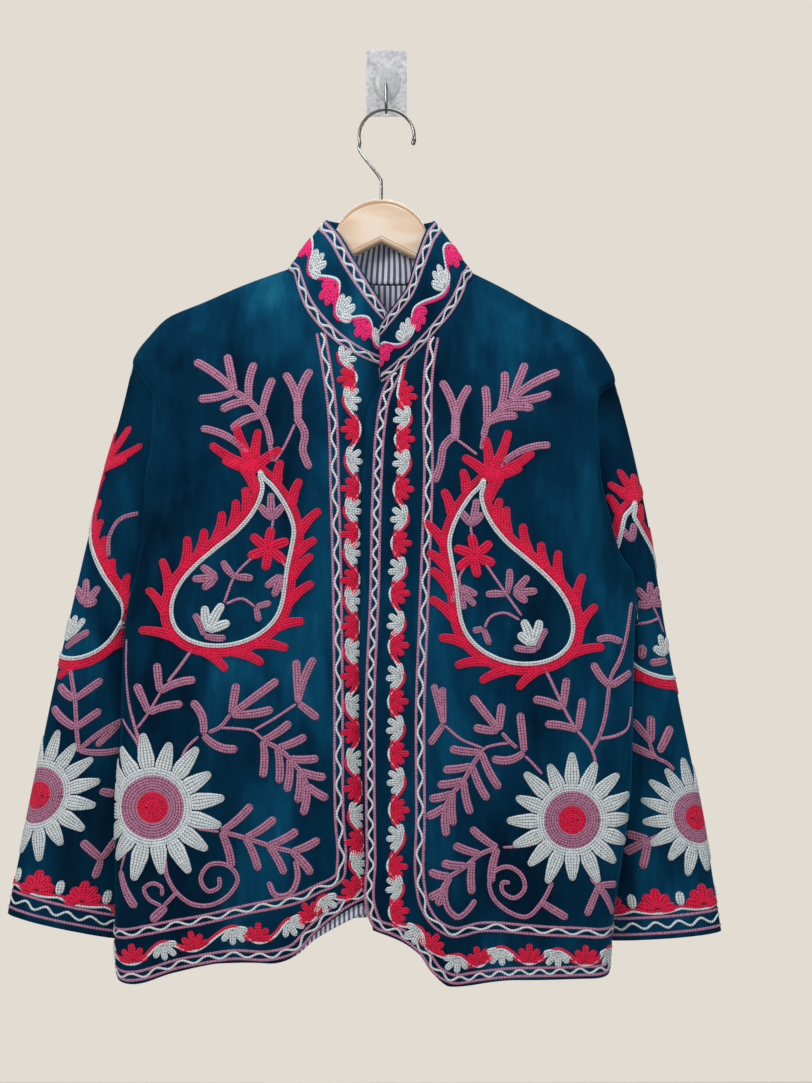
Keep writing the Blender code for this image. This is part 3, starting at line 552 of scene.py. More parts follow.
def fold_depth(side, reach, drop):
    """How far the side's large folds move the front at these places."""
    total = np.zeros(np.broadcast(reach, drop).shape)
    for at_reach, at_drop, lean, width, height, forward in side.folds:
        across = (reach - at_reach - lean * (drop - at_drop)) / width
        along = (drop - at_drop) / height
        total = total - forward * np.exp(-(across**2) - along**2)
    return total


def creases(table, reach, drop):
    """How far small creases move the cloth in, as soft troughs and ridges in their own directions."""
    total = np.zeros(np.broadcast(reach, drop).shape)
    for at_reach, at_drop, degrees, length, width, forward in table:
        angle = math.radians(degrees)
        da, db = reach - at_reach * MM, drop - at_drop * MM
        along = (da * math.sin(angle) + db * math.cos(angle)) / (length * MM)
        across = (da * math.cos(angle) - db * math.sin(angle)) / (width * MM)
        total = total - forward * MM * np.exp(-(across**2) - along**2)
    return total


def front_plane(side, reach, drop):
    """Depth of a front's outer face away from its side."""
    below = drop - side.shoulder_drop(reach)
    lap = side.lap * (1 - ease((reach - 0.045) / 0.060))
    folds = fold_depth(side, reach, drop) + creases(side.front_creases, reach, drop)
    return RIDGE_Y - RIDGE_HALF - FRONT_FALL("forward", below) + folds + lap


def back_plane(side, reach, drop):
    """Depth of the back's outer face away from its side."""
    below = drop - side.shoulder_drop(reach)
    return RIDGE_Y + RIDGE_HALF + BACK_FALL("back", below) - creases(BACK_CREASES, reach, drop)


def front_turn(side, drop):
    """The four plan points (reach, y) of the curve round the side of a front at this drop."""
    fold = side.outline("fold", drop)
    seam = side.outline("seam", drop)
    seam_y = side.outline("front_y", drop)
    start = fold - FRONT_ROUND
    start_y = front_plane(side, start, drop)
    out = fold + 0.7 * (fold - seam)
    return (
        (start, start_y),
        (fold - 0.25 * FRONT_ROUND, start_y),
        (out, mix(seam_y, start_y, 0.5)),
        (seam, seam_y),
    )


def back_turn(side, drop):
    seam = side.outline("seam", drop)
    seam_y = side.outline("back_y", drop)
    length = side.outline("back_round", drop)
    start = seam - length
    start_y = back_plane(side, start, drop)
    blunt = 1 - ease((length - FRONT_ROUND) / 0.060)
    return (
        (start, start_y),
        (start + mix(0.40, 0.62, blunt) * length, start_y),
        (seam, mix(seam_y, start_y, mix(0.30, 0.60, blunt))),
        (seam, seam_y),
    )


def cubic(points, t):
    """Both coordinates of a cubic curve with these four control points."""
    weights = ((1 - t) ** 3, 3 * t * (1 - t) ** 2, 3 * t**2 * (1 - t), t**3)
    return tuple(sum(w * p[axis] for w, p in zip(weights, points)) for axis in (0, 1))


def turn_length(points):
    """Length of such a curve, from nine straight steps."""
    steps = [cubic(points, t) for t in np.linspace(0, 1, 10)]
    return sum(np.hypot(b[0] - a[0], b[1] - a[1]) for a, b in zip(steps, steps[1:]))


def surface(side, across, drop, turn, plane):
    """Points at a distance across a section. Up to the turn, across is the reach."""
    points = turn(side, drop)
    start = points[0][0]
    t = np.clip((across - start) / turn_length(points), 0.0, 1.0)
    turned = cubic(points, t)
    flat = across < start
    reach = np.where(flat, across, turned[0])
    y = np.where(flat, plane(side, across, drop), turned[1])
    return np.stack([side.x(reach), y, np.broadcast_to(-drop, reach.shape)], axis=-1)


def section_end(side, drop, turn):
    """The distance across at which a section meets its seam."""
    points = turn(side, drop)
    return points[0][0] + turn_length(points)


def row_shares(side, hem):
    """Shares of the way down a panel for its rows, with ARM_ROWS of them along the armhole."""
    angles = np.linspace(0, math.pi, ARM_ROWS + 1)
    arm = (1 - np.cos(angles)) / 2 * (side.arm_foot - side.arm_top)
    below = np.linspace(side.arm_foot - side.arm_top, hem.last("drop") - side.arm_top, BODY_ROWS + 1)
    return np.concatenate([arm, below[1:]]) / (hem.last("drop") - side.arm_top)


def top_edge(side, neck, turn):
    """The neck and shoulder of a panel, as distances across and drops, from its inner edge out."""
    lengths = 1 - np.linspace(1, 0, NECK_COLUMNS + 1) ** 1.15
    reach, drop = even_points(neck.columns["reach"], neck.columns["drop"], lengths)
    end = section_end(side, drop[-1:], turn)
    across = np.concatenate([reach[:-1], end])
    ridge = even_points(side.ridge_reach, side.ridge_drop, np.linspace(0, 1, SHOULDER_COLUMNS + 1))[1][1:]
    return np.concatenate([across, section_end(side, ridge, turn)]), np.concatenate([drop, ridge])


def even_points(xs, ys, shares):
    """Points at these shares of the length of a smooth curve."""
    fine_x = np.linspace(xs[0], xs[-1], 400)
    fine_y = smooth(xs, ys, fine_x)
    length = np.concatenate([[0], np.cumsum(np.hypot(np.diff(fine_x), np.diff(fine_y)))])
    at = np.interp(shares * length[-1], length, fine_x)
    return at, smooth(xs, ys, at)


def panel_grid(side, neck, edge, hem, shares, turn, plane):
    """Rows of points over one half of the body, from the inner edge to the seam."""
    top, top_drop = top_edge(side, neck, turn)
    columns = len(top)
    corner = CORNER_COLUMNS / (columns - 1)
    hem_end = section_end(side, np.array([hem.last("drop")]), turn)[0]
    corner_share = min(0.5, turn_length(turn(side, hem.last("drop"))) / hem_end)
    count = np.linspace(0, 1, columns)
    into = np.clip((count - 1 + corner) / corner, 0, 1)
    even = np.where(into > 0, 1 - corner_share * (1 - into) ** 1.8, count / (1 - corner) * (1 - corner_share))
    pivot = top[NECK_COLUMNS]
    inner = (top - top[0]) / (pivot - top[0])
    outer = (top - pivot) / (top[-1] - pivot)
    hem_drop = hem("drop", mix(hem.first("reach"), hem_end, even))
    drop = top_drop + shares * (hem_drop - top_drop)
    first = edge(drop[:, 0])[:, None]
    last = section_end(side, drop[:, -1], turn)[:, None]
    placed = np.where(top <= pivot, mix(first, pivot, inner), mix(pivot, last, outer))
    across = mix(placed, mix(first, last, even), ease(shares / 0.40))
    across[0] = top
    return surface(side, across, drop, turn, plane)


def front_grid(side):
    shares = row_shares(side, side.hem)[:, None]
    edge = lambda drop: side.edge("reach", drop)
    return panel_grid(side, side.neck, edge, side.hem, shares, front_turn, front_plane)


def back_neck(side):
    """The back neck seam as a table, level at the middle and rising to the shoulder seam."""
    reach = np.linspace(0, side.ridge_reach[0], 9)
    rise = (reach / reach[-1]) ** 3
    drop = mix(BACK_NECK_DROP, side.ridge_drop[0], rise)
    return Table("reach drop", *zip(reach, drop))


def back_half(side, other):
    """One half of the back. Its rows meet those of the other half at the middle line."""
    own = row_shares(side, side.back_hem)
    mean = (own + row_shares(other, other.back_hem)) / 2
    columns = np.linspace(0, 1, NECK_COLUMNS + SHOULDER_COLUMNS + 1)
    shares = mean[:, None] + (own - mean)[:, None] * columns[None, :]
    middle = lambda drop: np.zeros_like(drop)
    return panel_grid(side, back_neck(side), middle, side.back_hem, shares, back_turn, back_plane)


def back_grid():
    right = back_half(RIGHT, LEFT)
    left = back_half(LEFT, RIGHT)
    return np.concatenate([right[:, :0:-1], left], axis=1)


def neck_seam():
    """Points of the neck seam from the right front's edge, round the back, to the left front's."""
    line = []
    for side, neck, turn, plane, outwards in (
        (RIGHT, RIGHT.neck, front_turn, front_plane, True),
        (RIGHT, back_neck(RIGHT), back_turn, back_plane, False),
        (LEFT, back_neck(LEFT), back_turn, back_plane, True),
        (LEFT, LEFT.neck, front_turn, front_plane, False),
    ):
        across, drop = (a[: NECK_COLUMNS + 1] for a in top_edge(side, neck, turn))
        points = surface(side, across, drop, turn, plane)
        points = points if outwards else points[::-1]
        line.append(points if not line else points[1:])
    return np.concatenate(line)


def parts_of(line):
    """The share of a line's length at each of its points."""
    length = np.concatenate([[0], np.cumsum(np.linalg.norm(np.diff(line, axis=0), axis=1))])
    return length / length[-1]


def collar_grid(rows=COLLAR_ROWS):
    """Rows of points from the neck seam to the collar's upper edge."""
    base = neck_seam()
    part = parts_of(base)
    top = np.stack([COLLAR_TOP("x", part), COLLAR_TOP("y", part), -COLLAR_TOP("drop", part)], axis=-1)
    middle = np.array([MIDDLE_X, RIDGE_Y, 0.0])
    outwards = (base - middle) * np.array([1, 1, 0])
    outwards /= np.linalg.norm(outwards, axis=1)[:, None]
    grid = []
    for share in np.linspace(0, 1, rows + 1):
        grid.append(mix(base, top, share) + outwards * COLLAR_BULGE * math.sin(math.pi * share))
    return np.array(grid)


def normals_of(grid):
    """Unit normals of a grid of points, pointing to the side that its rows turn from."""
    along = np.gradient(grid, axis=1)
    down = np.gradient(grid, axis=0)
    normal = np.cross(along, down)
    return normal / np.linalg.norm(normal, axis=-1)[..., None]


def moved(grid, distance, inwards):
    """A copy of a grid moved along its normals, towards the side that inwards points to."""
    normal = normals_of(grid)
    towards = np.sum(normal * inwards, axis=-1, keepdims=True)
    return grid + normal * np.where(towards < 0, -distance, distance)


def collar_lining_grid():
    grid = collar_grid()
    part = parts_of(grid[0])
    low, high = COLLAR_LINING_PARTS
    keep = (part > low) & (part < high)
    centre = np.array([MIDDLE_X, RIDGE_Y, 0.0])
    inwards = (centre - grid) * np.array([1, 1, 0])
    return moved(grid, COLLAR_WALL + LINING_GAP, inwards)[:, keep]


def back_lining_grid():
    """Cotton over the inside of the upper back, just under the collar, made from the back's points."""
    grid = moved(back_grid(), VELVET + LINING_GAP, np.array([0, -1, 0]))
    middle = grid.shape[1] // 2
    near = slice(middle - NECK_COLUMNS + 1, middle + NECK_COLUMNS)
    return grid[1:BACK_LINING_ROWS, near]


def hem_lining_grid():
    """Cotton behind the right front's hem, hanging below it near the front edge."""
    low, high = HEM_LINING_REACH
    reach = np.linspace(low, high, 60)
    foot = RIGHT.hem("drop", reach) + HEM_LINING_SHOWS("below", reach)
    rows = [
        surface(RIGHT, reach, foot - HEM_LINING_HEIGHT * share, front_turn, front_plane)
        for share in np.linspace(1, 0, 20)
    ]
    return moved(np.array(rows), VELVET + LINING_GAP, np.array([0, 1, 0]))


def wood_top(side, reach):
    """Drop of the hanger's upper edge: a round neck, then the line of the shoulder."""
    arc_end = WOOD_ARC * math.sin(math.radians(WOOD_ARC_END))
    arc_drop = WOOD_TOP_DROP + WOOD_ARC - np.sqrt(WOOD_ARC**2 - np.minimum(reach, arc_end) ** 2)
    start = side.ridge_reach[0]
    seat = WOOD_SEAT + WOOD_NECK_SEAT * (1 - ease((reach - start) / 0.050))
    under_cloth = side.shoulder_drop(reach) + seat
    start_drop = side.ridge_drop[0] + WOOD_SEAT + WOOD_NECK_SEAT
    down = (reach - arc_end) / (start - arc_end)
    between = mix(arc_drop, start_drop, np.clip(down, 0, 1))
    return np.where(reach < start, between, under_cloth)


def wood_foot(side, reach):
    """Drop of the hanger's lower edge, with a notch under its middle."""
    under_arm = side.shoulder_drop(reach) + WOOD_SEAT + WOOD_ARM_HEIGHT
    notch = WOOD_NOTCH_DROP + WOOD_NOTCH_SLOPE * reach
    return np.where(reach < side.ridge_reach[0], notch, np.minimum(under_arm, notch))


def lean_y(drop):
    """Depth of the hanger's hook, which leans out from the wall on its way down to the wood."""
    share = (drop - (RING_DROP - RING_RADIUS)) / (WOOD_TOP_DROP - RING_DROP + RING_RADIUS)
    return mix(RING_Y, RIDGE_Y, ease(share * 0.9))


def sleeve_points(side, t, angle):
    """Points of a sleeve at a share t of its length and an angle round it, 0 on its outer line."""
    share = (1 - np.cos(angle)) / 2
    arm_drop = mix(side.arm_top, side.arm_foot, share)
    fore = np.sin(angle) >= 0
    seam_y = np.where(fore, side.outline("front_y", arm_drop), side.outline("back_y", arm_drop))
    straight = mix(side.sleeve.first("outer_reach"), side.sleeve.first("inner_reach"), share)
    outer, inner = (side.sleeve(f"{line}_reach", t) for line in ("outer", "inner"))
    top, foot = (side.sleeve(f"{line}_drop", t) for line in ("outer", "inner"))
    leave = 1 - ease(t / 0.16)
    into_body = SLEEVE_TUCK * (1 - ease(t / 0.03))
    reach = mix(outer, inner, share) + (side.outline("seam", arm_drop) - straight) * leave - into_body
    swell = np.sign(np.sin(angle)) * np.abs(np.sin(angle)) ** 0.8
    drop = mix(top, foot, share)
    push = np.where(fore, 1.0, -1.0) * creases(SLEEVE_CREASES, reach - outer, drop) * ease(t / 0.10)
    push = push * np.abs(np.sin(angle))
    tube_y = side.sleeve("mid_y", t) - side.sleeve("half", t) * swell
    y = mix(tube_y, seam_y, 1 - ease(t / 0.22)) + push
    return np.stack([side.x(reach), y, -drop], axis=-1)


def sleeve_grid(side):
    t = np.linspace(0, 1, SLEEVE_RINGS)[:, None] ** 1.1
    angle = np.linspace(-math.pi, math.pi, 2 * SLEEVE_ARM, endpoint=False)[None, :]
    return sleeve_points(side, *np.broadcast_arrays(t, angle))


class SleeveMap:
    """Turns mm round a sleeve from its outer line, on a level, and mm of drop into points of the sleeve.

    Both are as they look from the front, where the sleeves hang a little farther back than the fronts.
    """

    def __init__(self, side):
        self.side = side
        self.levels = np.arange(336.0, 961.0, 6.0)
        self.rounds = np.arange(0.0, 173.0, 4.0)
        shares = np.linspace(0, 1, 81)
        tops, feet = (side.sleeve(f"{line}_drop", shares) / MM for line in ("outer", "inner"))
        steps = np.linspace(0, 1, 60) ** 2
        cuff_end = sleeve_points(side, np.ones(1), np.zeros(1))[0] / MM / SLEEVE_SCALE
        self.table = np.zeros((2, 2, len(self.levels), len(self.rounds)))
        self.most = np.zeros((2, len(self.levels)))
        for k, level in enumerate(self.levels):
            drop = SLEEVE_EYE + (level - SLEEVE_EYE) * SLEEVE_SCALE
            t = np.interp(drop, tops, shares) * (1 - steps)
            top, foot = (np.interp(t, shares, line) for line in (tops, feet))
            angle = np.arccos(1 - 2 * np.clip((drop - top) / (foot - top), 0, 1))
            end = cuff_end if drop > tops[-1] else sleeve_points(side, t[:1], np.zeros(1))[0] / MM / SLEEVE_SCALE
            for half, sign in enumerate((1.0, -1.0)):
                points = sleeve_points(side, t, angle * sign) / MM / SLEEVE_SCALE
                at = distances(points) + np.linalg.norm((points[0] - end)[:2])
                self.most[half, k] = at[min(int(np.searchsorted(angle, math.pi - 0.12)), len(at) - 1)]
                for what, values in enumerate((t, angle)):
                    self.table[half, what, k] = np.interp(self.rounds, at, values)

    def limit(self, across, down):
        return np.where(across > 0, *(np.interp(down, self.levels, most) for most in self.most))

    def __call__(self, across, down):
        row = np.clip((down - self.levels[0]) / 6.0, 0, len(self.levels) - 1.001)
        column = np.clip(np.abs(across) / 4.0, 0, len(self.rounds) - 1.001)
        half = (across < 0).astype(int)
        i, j = row.astype(int), column.astype(int)
        u, v = row - i, column - j
        t, angle = (
            mix(
                mix(self.table[half, what, i, j], self.table[half, what, i, j + 1], v),
                mix(self.table[half, what, i + 1, j], self.table[half, what, i + 1, j + 1], v),
                u,
            )
            for what in (0, 1)
        )
        return sleeve_points(self.side, t, angle * np.where(across < 0, -1.0, 1.0))


def collar_map():
    """Turns mm along the neck seam, and mm up a band 60 mm high, into points of the collar."""
    base = neck_seam()
    part = parts_of(base)
    length = np.sum(np.linalg.norm(np.diff(base, axis=0), axis=1)) / MM
    middle = np.array([MIDDLE_X, RIDGE_Y, 0.0])

    def mapped(along, up):
        at = np.clip(along / length, 0, 1)
        share = up / COLLAR_BAND
        low = np.stack([np.interp(at, part, base[:, k]) for k in range(3)], axis=-1)
        top = np.stack([COLLAR_TOP("x", at), COLLAR_TOP("y", at), -COLLAR_TOP("drop", at)], axis=-1)
        outwards = (low - middle) * np.array([1, 1, 0])
        outwards /= np.linalg.norm(outwards, axis=-1)[..., None]
        bulge = COLLAR_BULGE * np.sin(math.pi * share)
        return mix(low, top, share[..., None]) + outwards * bulge[..., None]

    return mapped, length


# Meshes


def press_seams(made, rows, columns, seams):
    """Thins the wall towards the seams, where its layers are pressed together."""
    row, column = np.meshgrid(np.arange(rows), np.arange(columns), indexing="ij")
    away = {"top": row / PRESSED_ROWS, "start": column / 6.0, "end": (columns - 1 - column) / 6.0}
    share = np.ones((rows, columns))
    for seam in seams:
        share = np.minimum(share, mix(PRESSED, 1.0, ease(away[seam])))
    group = made.vertex_groups.new(name="wall_share")
    for i, value in enumerate(share.ravel().tolist()):
        group.add([i], value, "REPLACE")


def sheet_mesh(name, grid, finishes, outwards, ring=False, wall=CLOTH, stripes=None, seams=()):
    """A thin wall of cloth with the grid as its outer face and the second finish on its inner face."""
    rows, columns = grid.shape[:2]
    wide = columns if ring else columns - 1
    i, j = np.meshgrid(np.arange(rows - 1), np.arange(wide), indexing="ij")
    k = (j + 1) % columns
    faces = np.stack([i * columns + j, i * columns + k, (i + 1) * columns + k, (i + 1) * columns + j], axis=-1)
    faces = faces.reshape(-1, 4)
    mesh = bpy.data.meshes.new(name)
    mesh.from_pydata(grid.reshape(-1, 3).tolist(), [], faces.tolist())
    for finish in finishes:
        mesh.materials.append(finish)
    if stripes is not None:
        layer = mesh.uv_layers.new(name="stripes")
        layer.data.foreach_set("uv", stripes.reshape(-1, 2)[faces.ravel()].ravel())
    mesh.update()
    if np.dot(mesh.polygons[0].normal, outwards) < 0:
        mesh.flip_normals()
    mesh.shade_smooth()
    made = bpy.data.objects.new(name, mesh)
    bpy.context.scene.collection.objects.link(made)
    shell = made.modifiers.new("wall", "SOLIDIFY")
    shell.thickness = wall
    shell.offset = -1.0
    shell.use_even_offset = False
    if seams:
        press_seams(made, rows, columns, seams)
        shell.vertex_group = "wall_share"
    shell.material_offset = 1 if len(finishes) > 1 else 0
    return made


def distances(path):
    return np.concatenate([[0], np.cumsum(np.linalg.norm(np.diff(path, axis=0), axis=1))])


class Panel:
    """Cloth to stitch on: points in mm across and down, and the map that puts them on its face."""

    def __init__(self, name, mapped, outwards, test, limit=None):
        self.name = name
        self.mapped = mapped
        self.limit = limit
        self.yarns = {}
        probe = np.array([test[0]], float), np.array([test[1]], float)
        self.turned = 1.0
        self.turned = 1.0 if np.dot(self.normals(*probe)[0], outwards) > 0 else -1.0

    def normals(self, across, down):
        here = self.mapped(across, down)
        right = self.mapped(across + 0.5, down) - self.mapped(across - 0.5, down)
        below = self.mapped(across, down + 0.5) - self.mapped(across, down - 0.5)
        normal = np.cross(right, below) * self.turned
        return normal / (np.linalg.norm(normal, axis=-1)[..., None] + 1e-12)

    def stroke(self, yarn, path, width=3.0, rows=1, high=0.9, round_ends=True):
        """Stitches rows of chain along a path. width may be a few widths, evenly spaced along it."""
        path = np.asarray(path, float)
        length = distances(path)
        total = length[-1]
        widths = np.atleast_1d(np.asarray(width, float))
        at = np.linspace(0, total, max(2, int(round(total / STITCH_STEP))) + 1)
        if round_ends:
            first, last = widths[0] / 2, widths[-1] / 2
            extra = [first * 0.13, first * 0.45, total - last * 0.45, total - last * 0.13]
            at = np.unique(np.concatenate([at, [e for e in extra if 0 < e < total]]))
        points = np.stack([np.interp(at, length, path[:, axis]) for axis in (0, 1)], axis=-1)
        wide = np.interp(at / total, np.linspace(0, 1, len(widths)), widths)
        rounding = np.ones_like(at)
        if round_ends:
            for from_end, radius in ((at, widths[0] / 2), (total - at, widths[-1] / 2)):
                near = np.clip(1 - from_end / radius, 0, 1)
                rounding = rounding * np.sqrt(np.clip(1 - near**2, 0.05, 1))
        tangent = np.gradient(points, at, axis=0)
        tangent /= np.linalg.norm(tangent, axis=1)[:, None] + 1e-9
        side = np.stack([-tangent[:, 1], tangent[:, 0]], axis=-1)
        count = 2 * rows + 1
        over = np.linspace(-0.5, 0.5, count)
        lift = np.where(np.arange(count) % 2 == 1, high, high * VALLEY)
        lift[[0, -1]] = -SUNK
        place = points[:, None] + side[:, None] * (over[None, :] * (wide * rounding)[:, None])[..., None]
        height = np.where(lift[None, :] > 0, lift[None, :] * (0.3 + 0.7 * rounding[:, None]), lift[None, :])
        stitches = np.stack(np.broadcast_arrays(over[None, :] * rows + rows / 2, at[:, None] / STITCH), axis=-1)
        self.add(yarn, place, height, stitches)

    def add(self, yarn, place, height, stitches):
        held = self.yarns.setdefault(yarn, {"place": [], "height": [], "uv": [], "faces": [], "count": 0})
        rows, columns = height.shape
        i, j = np.meshgrid(np.arange(rows - 1), np.arange(columns - 1), indexing="ij")
        first = held["count"] + i * columns + j
        faces = np.stack([first, first + 1, first + columns + 1, first + columns], axis=-1)
        held["place"].append(place.reshape(-1, 2))
        held["height"].append(height.ravel())
        held["uv"].append(stitches.reshape(-1, 2))
        held["faces"].append(faces.reshape(-1, 4))
        held["count"] += rows * columns

    def sew(self, finishes):
        """Makes one mesh for each yarn, leaving out what would pass the panel's seam."""
        made = []
        for yarn, held in self.yarns.items():
            across, down = np.concatenate(held["place"]).T
            height = np.concatenate(held["height"])
            stitches = np.concatenate(held["uv"])
            faces = np.concatenate(held["faces"])
            if self.limit is not None:
                most = self.limit(across, down)
                past = np.abs(across) > most
                faces = faces[~np.all(past[faces], axis=1)]
                across = np.clip(across, -most, most)
            points = self.mapped(across, down) + self.normals(across, down) * (height * MM)[:, None]
            made.append(self.mesh(f"{self.name}_{yarn}", points, faces, stitches, finishes[yarn]))
        return made

    def mesh(self, name, points, faces, stitches, finish):
        used, faces = np.unique(faces, return_inverse=True)
        faces = faces.reshape(-1, 4)
        points, stitches = points[used], stitches[used]
        if self.turned > 0:
            faces = faces[:, ::-1]
        mesh = bpy.data.meshes.new(name)
        mesh.from_pydata(points.tolist(), [], faces.tolist())
        layer = mesh.uv_layers.new(name="stitch")
        layer.data.foreach_set("uv", stitches[faces.ravel()].ravel())
        mesh.materials.append(finish)
        mesh.shade_smooth()
        made = bpy.data.objects.new(name, mesh)
        bpy.context.scene.collection.objects.link(made)
        return made


# Paths in mm, as rows of across and down


def curve(*points):
    return smooth_line(points, 2.0)


def bow(start, end, bend=0.0):
    """A path from start to end that bulges sideways by this share of its length."""
    start, end = np.array(start, float), np.array(end, float)
    t = np.linspace(0, 1, 9)[:, None]
    along = end - start
    return start + along * t + np.array([-along[1], along[0]]) * bend * 4 * t * (1 - t)


def turned(direction, degrees):
    """A direction turned by an angle."""
    angle = math.radians(degrees)
    x, y = direction
    return np.array([x * math.cos(angle) - y * math.sin(angle), x * math.sin(angle) + y * math.cos(angle)])


def offset(path, distance):
    """A path moved sideways: towards the middle where it runs down, and down where it runs outwards."""
    slope = np.gradient(path, axis=0)
    slope /= np.linalg.norm(slope, axis=1)[:, None] + 1e-9
    side = np.stack([-slope[:, 1], slope[:, 0]], axis=-1)
    return path + side * np.broadcast_to(distance, len(path))[:, None]


def wave(path, swing, period):
    return offset(path, swing * np.sin(2 * math.pi * distances(path) / period))


# Motifs


def stem(panel, *points, width=3.4, yarn="mauve"):
    panel.stroke(yarn, curve(*points), width, rows=1 + int(width > 4) + int(width > 7), high=1.1)


def limbs(panel, joint, *tips, width=9.2, yarn="mauve"):
    """Thick stitched limbs from their tips to a joint. A tip may have a bend after its place."""
    for tip in tips:
        bend = tip[2] if len(tip) > 2 else 0.0
        panel.stroke(yarn, bow(tip[:2], joint, bend), (width, width, width * 0.82), rows=3, high=1.3)


def fern(panel, spine, sides, spread=(62, 32)):
    """Limbs off both sides of a spine. A side has a sign, a count and its first and last length."""
    path = curve(*spine)
    stem(panel, *spine, width=5.4)
    at = distances(path)
    for sign, count, first, last in sides:
        for k in range(count):
            share = k / max(count - 1, 1)
            i = min(int(np.searchsorted(at, share * at[-1] * 0.96)), len(path) - 2)
            direction = (path[i + 1] - path[i]) / np.linalg.norm(path[i + 1] - path[i])
            tip = path[i] + turned(direction, sign * mix(*spread, share)) * mix(first, last, share)
            limbs(panel, path[i], (*tip, 0.05 * sign), width=8.8)


def palmette(panel, yarn, base, direction, size=15.5, lobes=5, spread=64.0, width=7.8):
    """A fan of lobes from a base."""
    for k, angle in enumerate(np.linspace(-spread, spread, lobes)):
        length = size * (1.0 - 0.13 * abs(angle) / spread - 0.06 * (k % 2))
        way = turned(direction, angle)
        path = np.array([base + way * length * share for share in (0.12, 0.5, 1.0)])
        panel.stroke(yarn, path, (width * 0.75, width, width * 0.92), rows=3, high=1.2 + 0.1 * (k % 2))


def ring(panel, yarn, centre, inner, outer, rows):
    angles = np.linspace(0, 2 * math.pi, max(16, int(outer * 2.4)))
    radius = (inner + outer) / 2
    circle = np.stack([centre[0] + radius * np.cos(angles), centre[1] + radius * np.sin(angles)], axis=-1)
    panel.stroke(yarn, circle, outer - inner + 0.6, rows=rows, high=1.2, round_ends=False)


def daisy(panel, centre, reach, petals=16, turn=8.0):
    """A white daisy of pointed petals, with a mauve ring round a red middle."""
    for k in range(petals):
        way = turned((1.0, 0.0), turn + 360.0 * k / petals)
        length = reach * (1.0 + 0.06 * math.sin(2.7 * k))
        path = np.array([np.array(centre) + way * length * share for share in (0.48, 0.66, 0.85, 1.0)])
        widths = (reach * 0.19, reach * 0.25, reach * 0.19, reach * 0.09)
        panel.stroke("white", path, widths, rows=5, high=1.4 + 0.15 * (k % 2))
    ring(panel, "white", centre, reach * 0.44, reach * 0.56, 3)
    ring(panel, "mauve", centre, reach * 0.215, reach * 0.445, 6)
    ring(panel, "red", centre, reach * 0.11, reach * 0.22, 3)
    ring(panel, "red", centre, 0.2, reach * 0.115, 3)


def little_flower(panel, yarn, centre, reach, petals=6, turn=20.0):
    for k in range(petals):
        way = turned((1.0, 0.0), turn + 360.0 * k / petals)
        panel.stroke(yarn, bow(centre, np.array(centre) + way * reach, 0.04), (7.0, 10.5, 9.0), rows=3, high=1.3)


def tulip(panel, yarn, joint, *tips, width=9.0):
    for tip in tips:
        panel.stroke(yarn, bow(joint, tip, 0.05), (width * 0.6, width, width * 0.8), rows=3, high=1.3)


def paisley_line(foot, height, half, shifts, margin=0.0):
    """The outline of a paisley, from its tip round its outer side and back, in even angles."""
    angle = np.linspace(0, 2 * math.pi, 121)
    up = (1 + np.cos(angle)) / 2
    wide = (half + margin) * np.sin(angle) * np.sin(angle / 2) ** 2 / 0.65
    places, moves = np.array(shifts, float).T
    return np.stack([foot[0] + smooth(places, moves, up) + wide, foot[1] - height * up], axis=-1)


def paisley(panel, foot, height, half, shifts, split=0.455, flames=(9, 10), size=37.0, crown=1.0):
    """A white paisley outline in a red band, with flames that lean towards its tip on both sides."""
    line = paisley_line(foot, height, half, shifts)
    at = distances(line)
    out = line - offset(line, 1.0)
    out *= 1.0 if np.dot(out[60], (0.0, 1.0)) > 0 else -1.0
    panel.stroke("red", (line + out * 6.0)[4:-4], (6.0, 9.0, 11.0, 11.0, 11.0, 9.5, 8.0, 6.0), rows=4, high=1.2)
    turn = split * at[-1]
    for sign, count, first in ((1, flames[0], 16.0), (-1, flames[1], at[-1] - 14.0)):
        for k in range(count):
            share = (k + 0.6) / count
            i = int(round(np.interp(mix(first, turn, share), at, np.arange(len(line)))))
            along = (line[max(i - 1, 0)] - line[min(i + 1, len(line) - 1)]) * sign
            along /= np.linalg.norm(along)
            angle = mix(0.80, 0.42, share)
            way = along * math.cos(angle) + out[i] * math.sin(angle)
            length = size * (1.0 + 0.09 * math.sin(4.1 * k + sign)) * mix(0.74, 1.08, share)
            start = line[i] + out[i] * 4.5
            path = bow(start, start + way * length, 0.07 * sign * (-1.0 if half > 0 else 1.0))
            panel.stroke("red", path, (11.5, 11.0, 9.6, 8.2), rows=4, high=1.35)
    tip = line[0]
    for x, y in ((34.0, -10.0), (46.0, -25.0), (21.0, -47.0), (-3.0, -40.0), (-26.0, -20.0)):
        end = tip + np.array([x, y]) * crown
        panel.stroke("red", bow(mix(end, tip, 1.08), end, 0.05), (11.0, 11.5, 10.0, 8.0), rows=4, high=1.4)
    peak = (line[7] + line[-8]) / 2 - np.array([0.0, 4.5])
    panel.stroke("white", curve(peak, *line[8:-8:4], peak), 5.0, rows=2, high=1.75)


def border(panel, path, half=4.0, swing=2.6, period=26.0, line=3.4, yarn="mauve"):
    """Two lines of chain with a white wave between them."""
    for move in (-half, half):
        panel.stroke(yarn, offset(path, move), line, round_ends=False)
    panel.stroke("white", wave(path, swing, period), 2.8, high=1.3, round_ends=False)


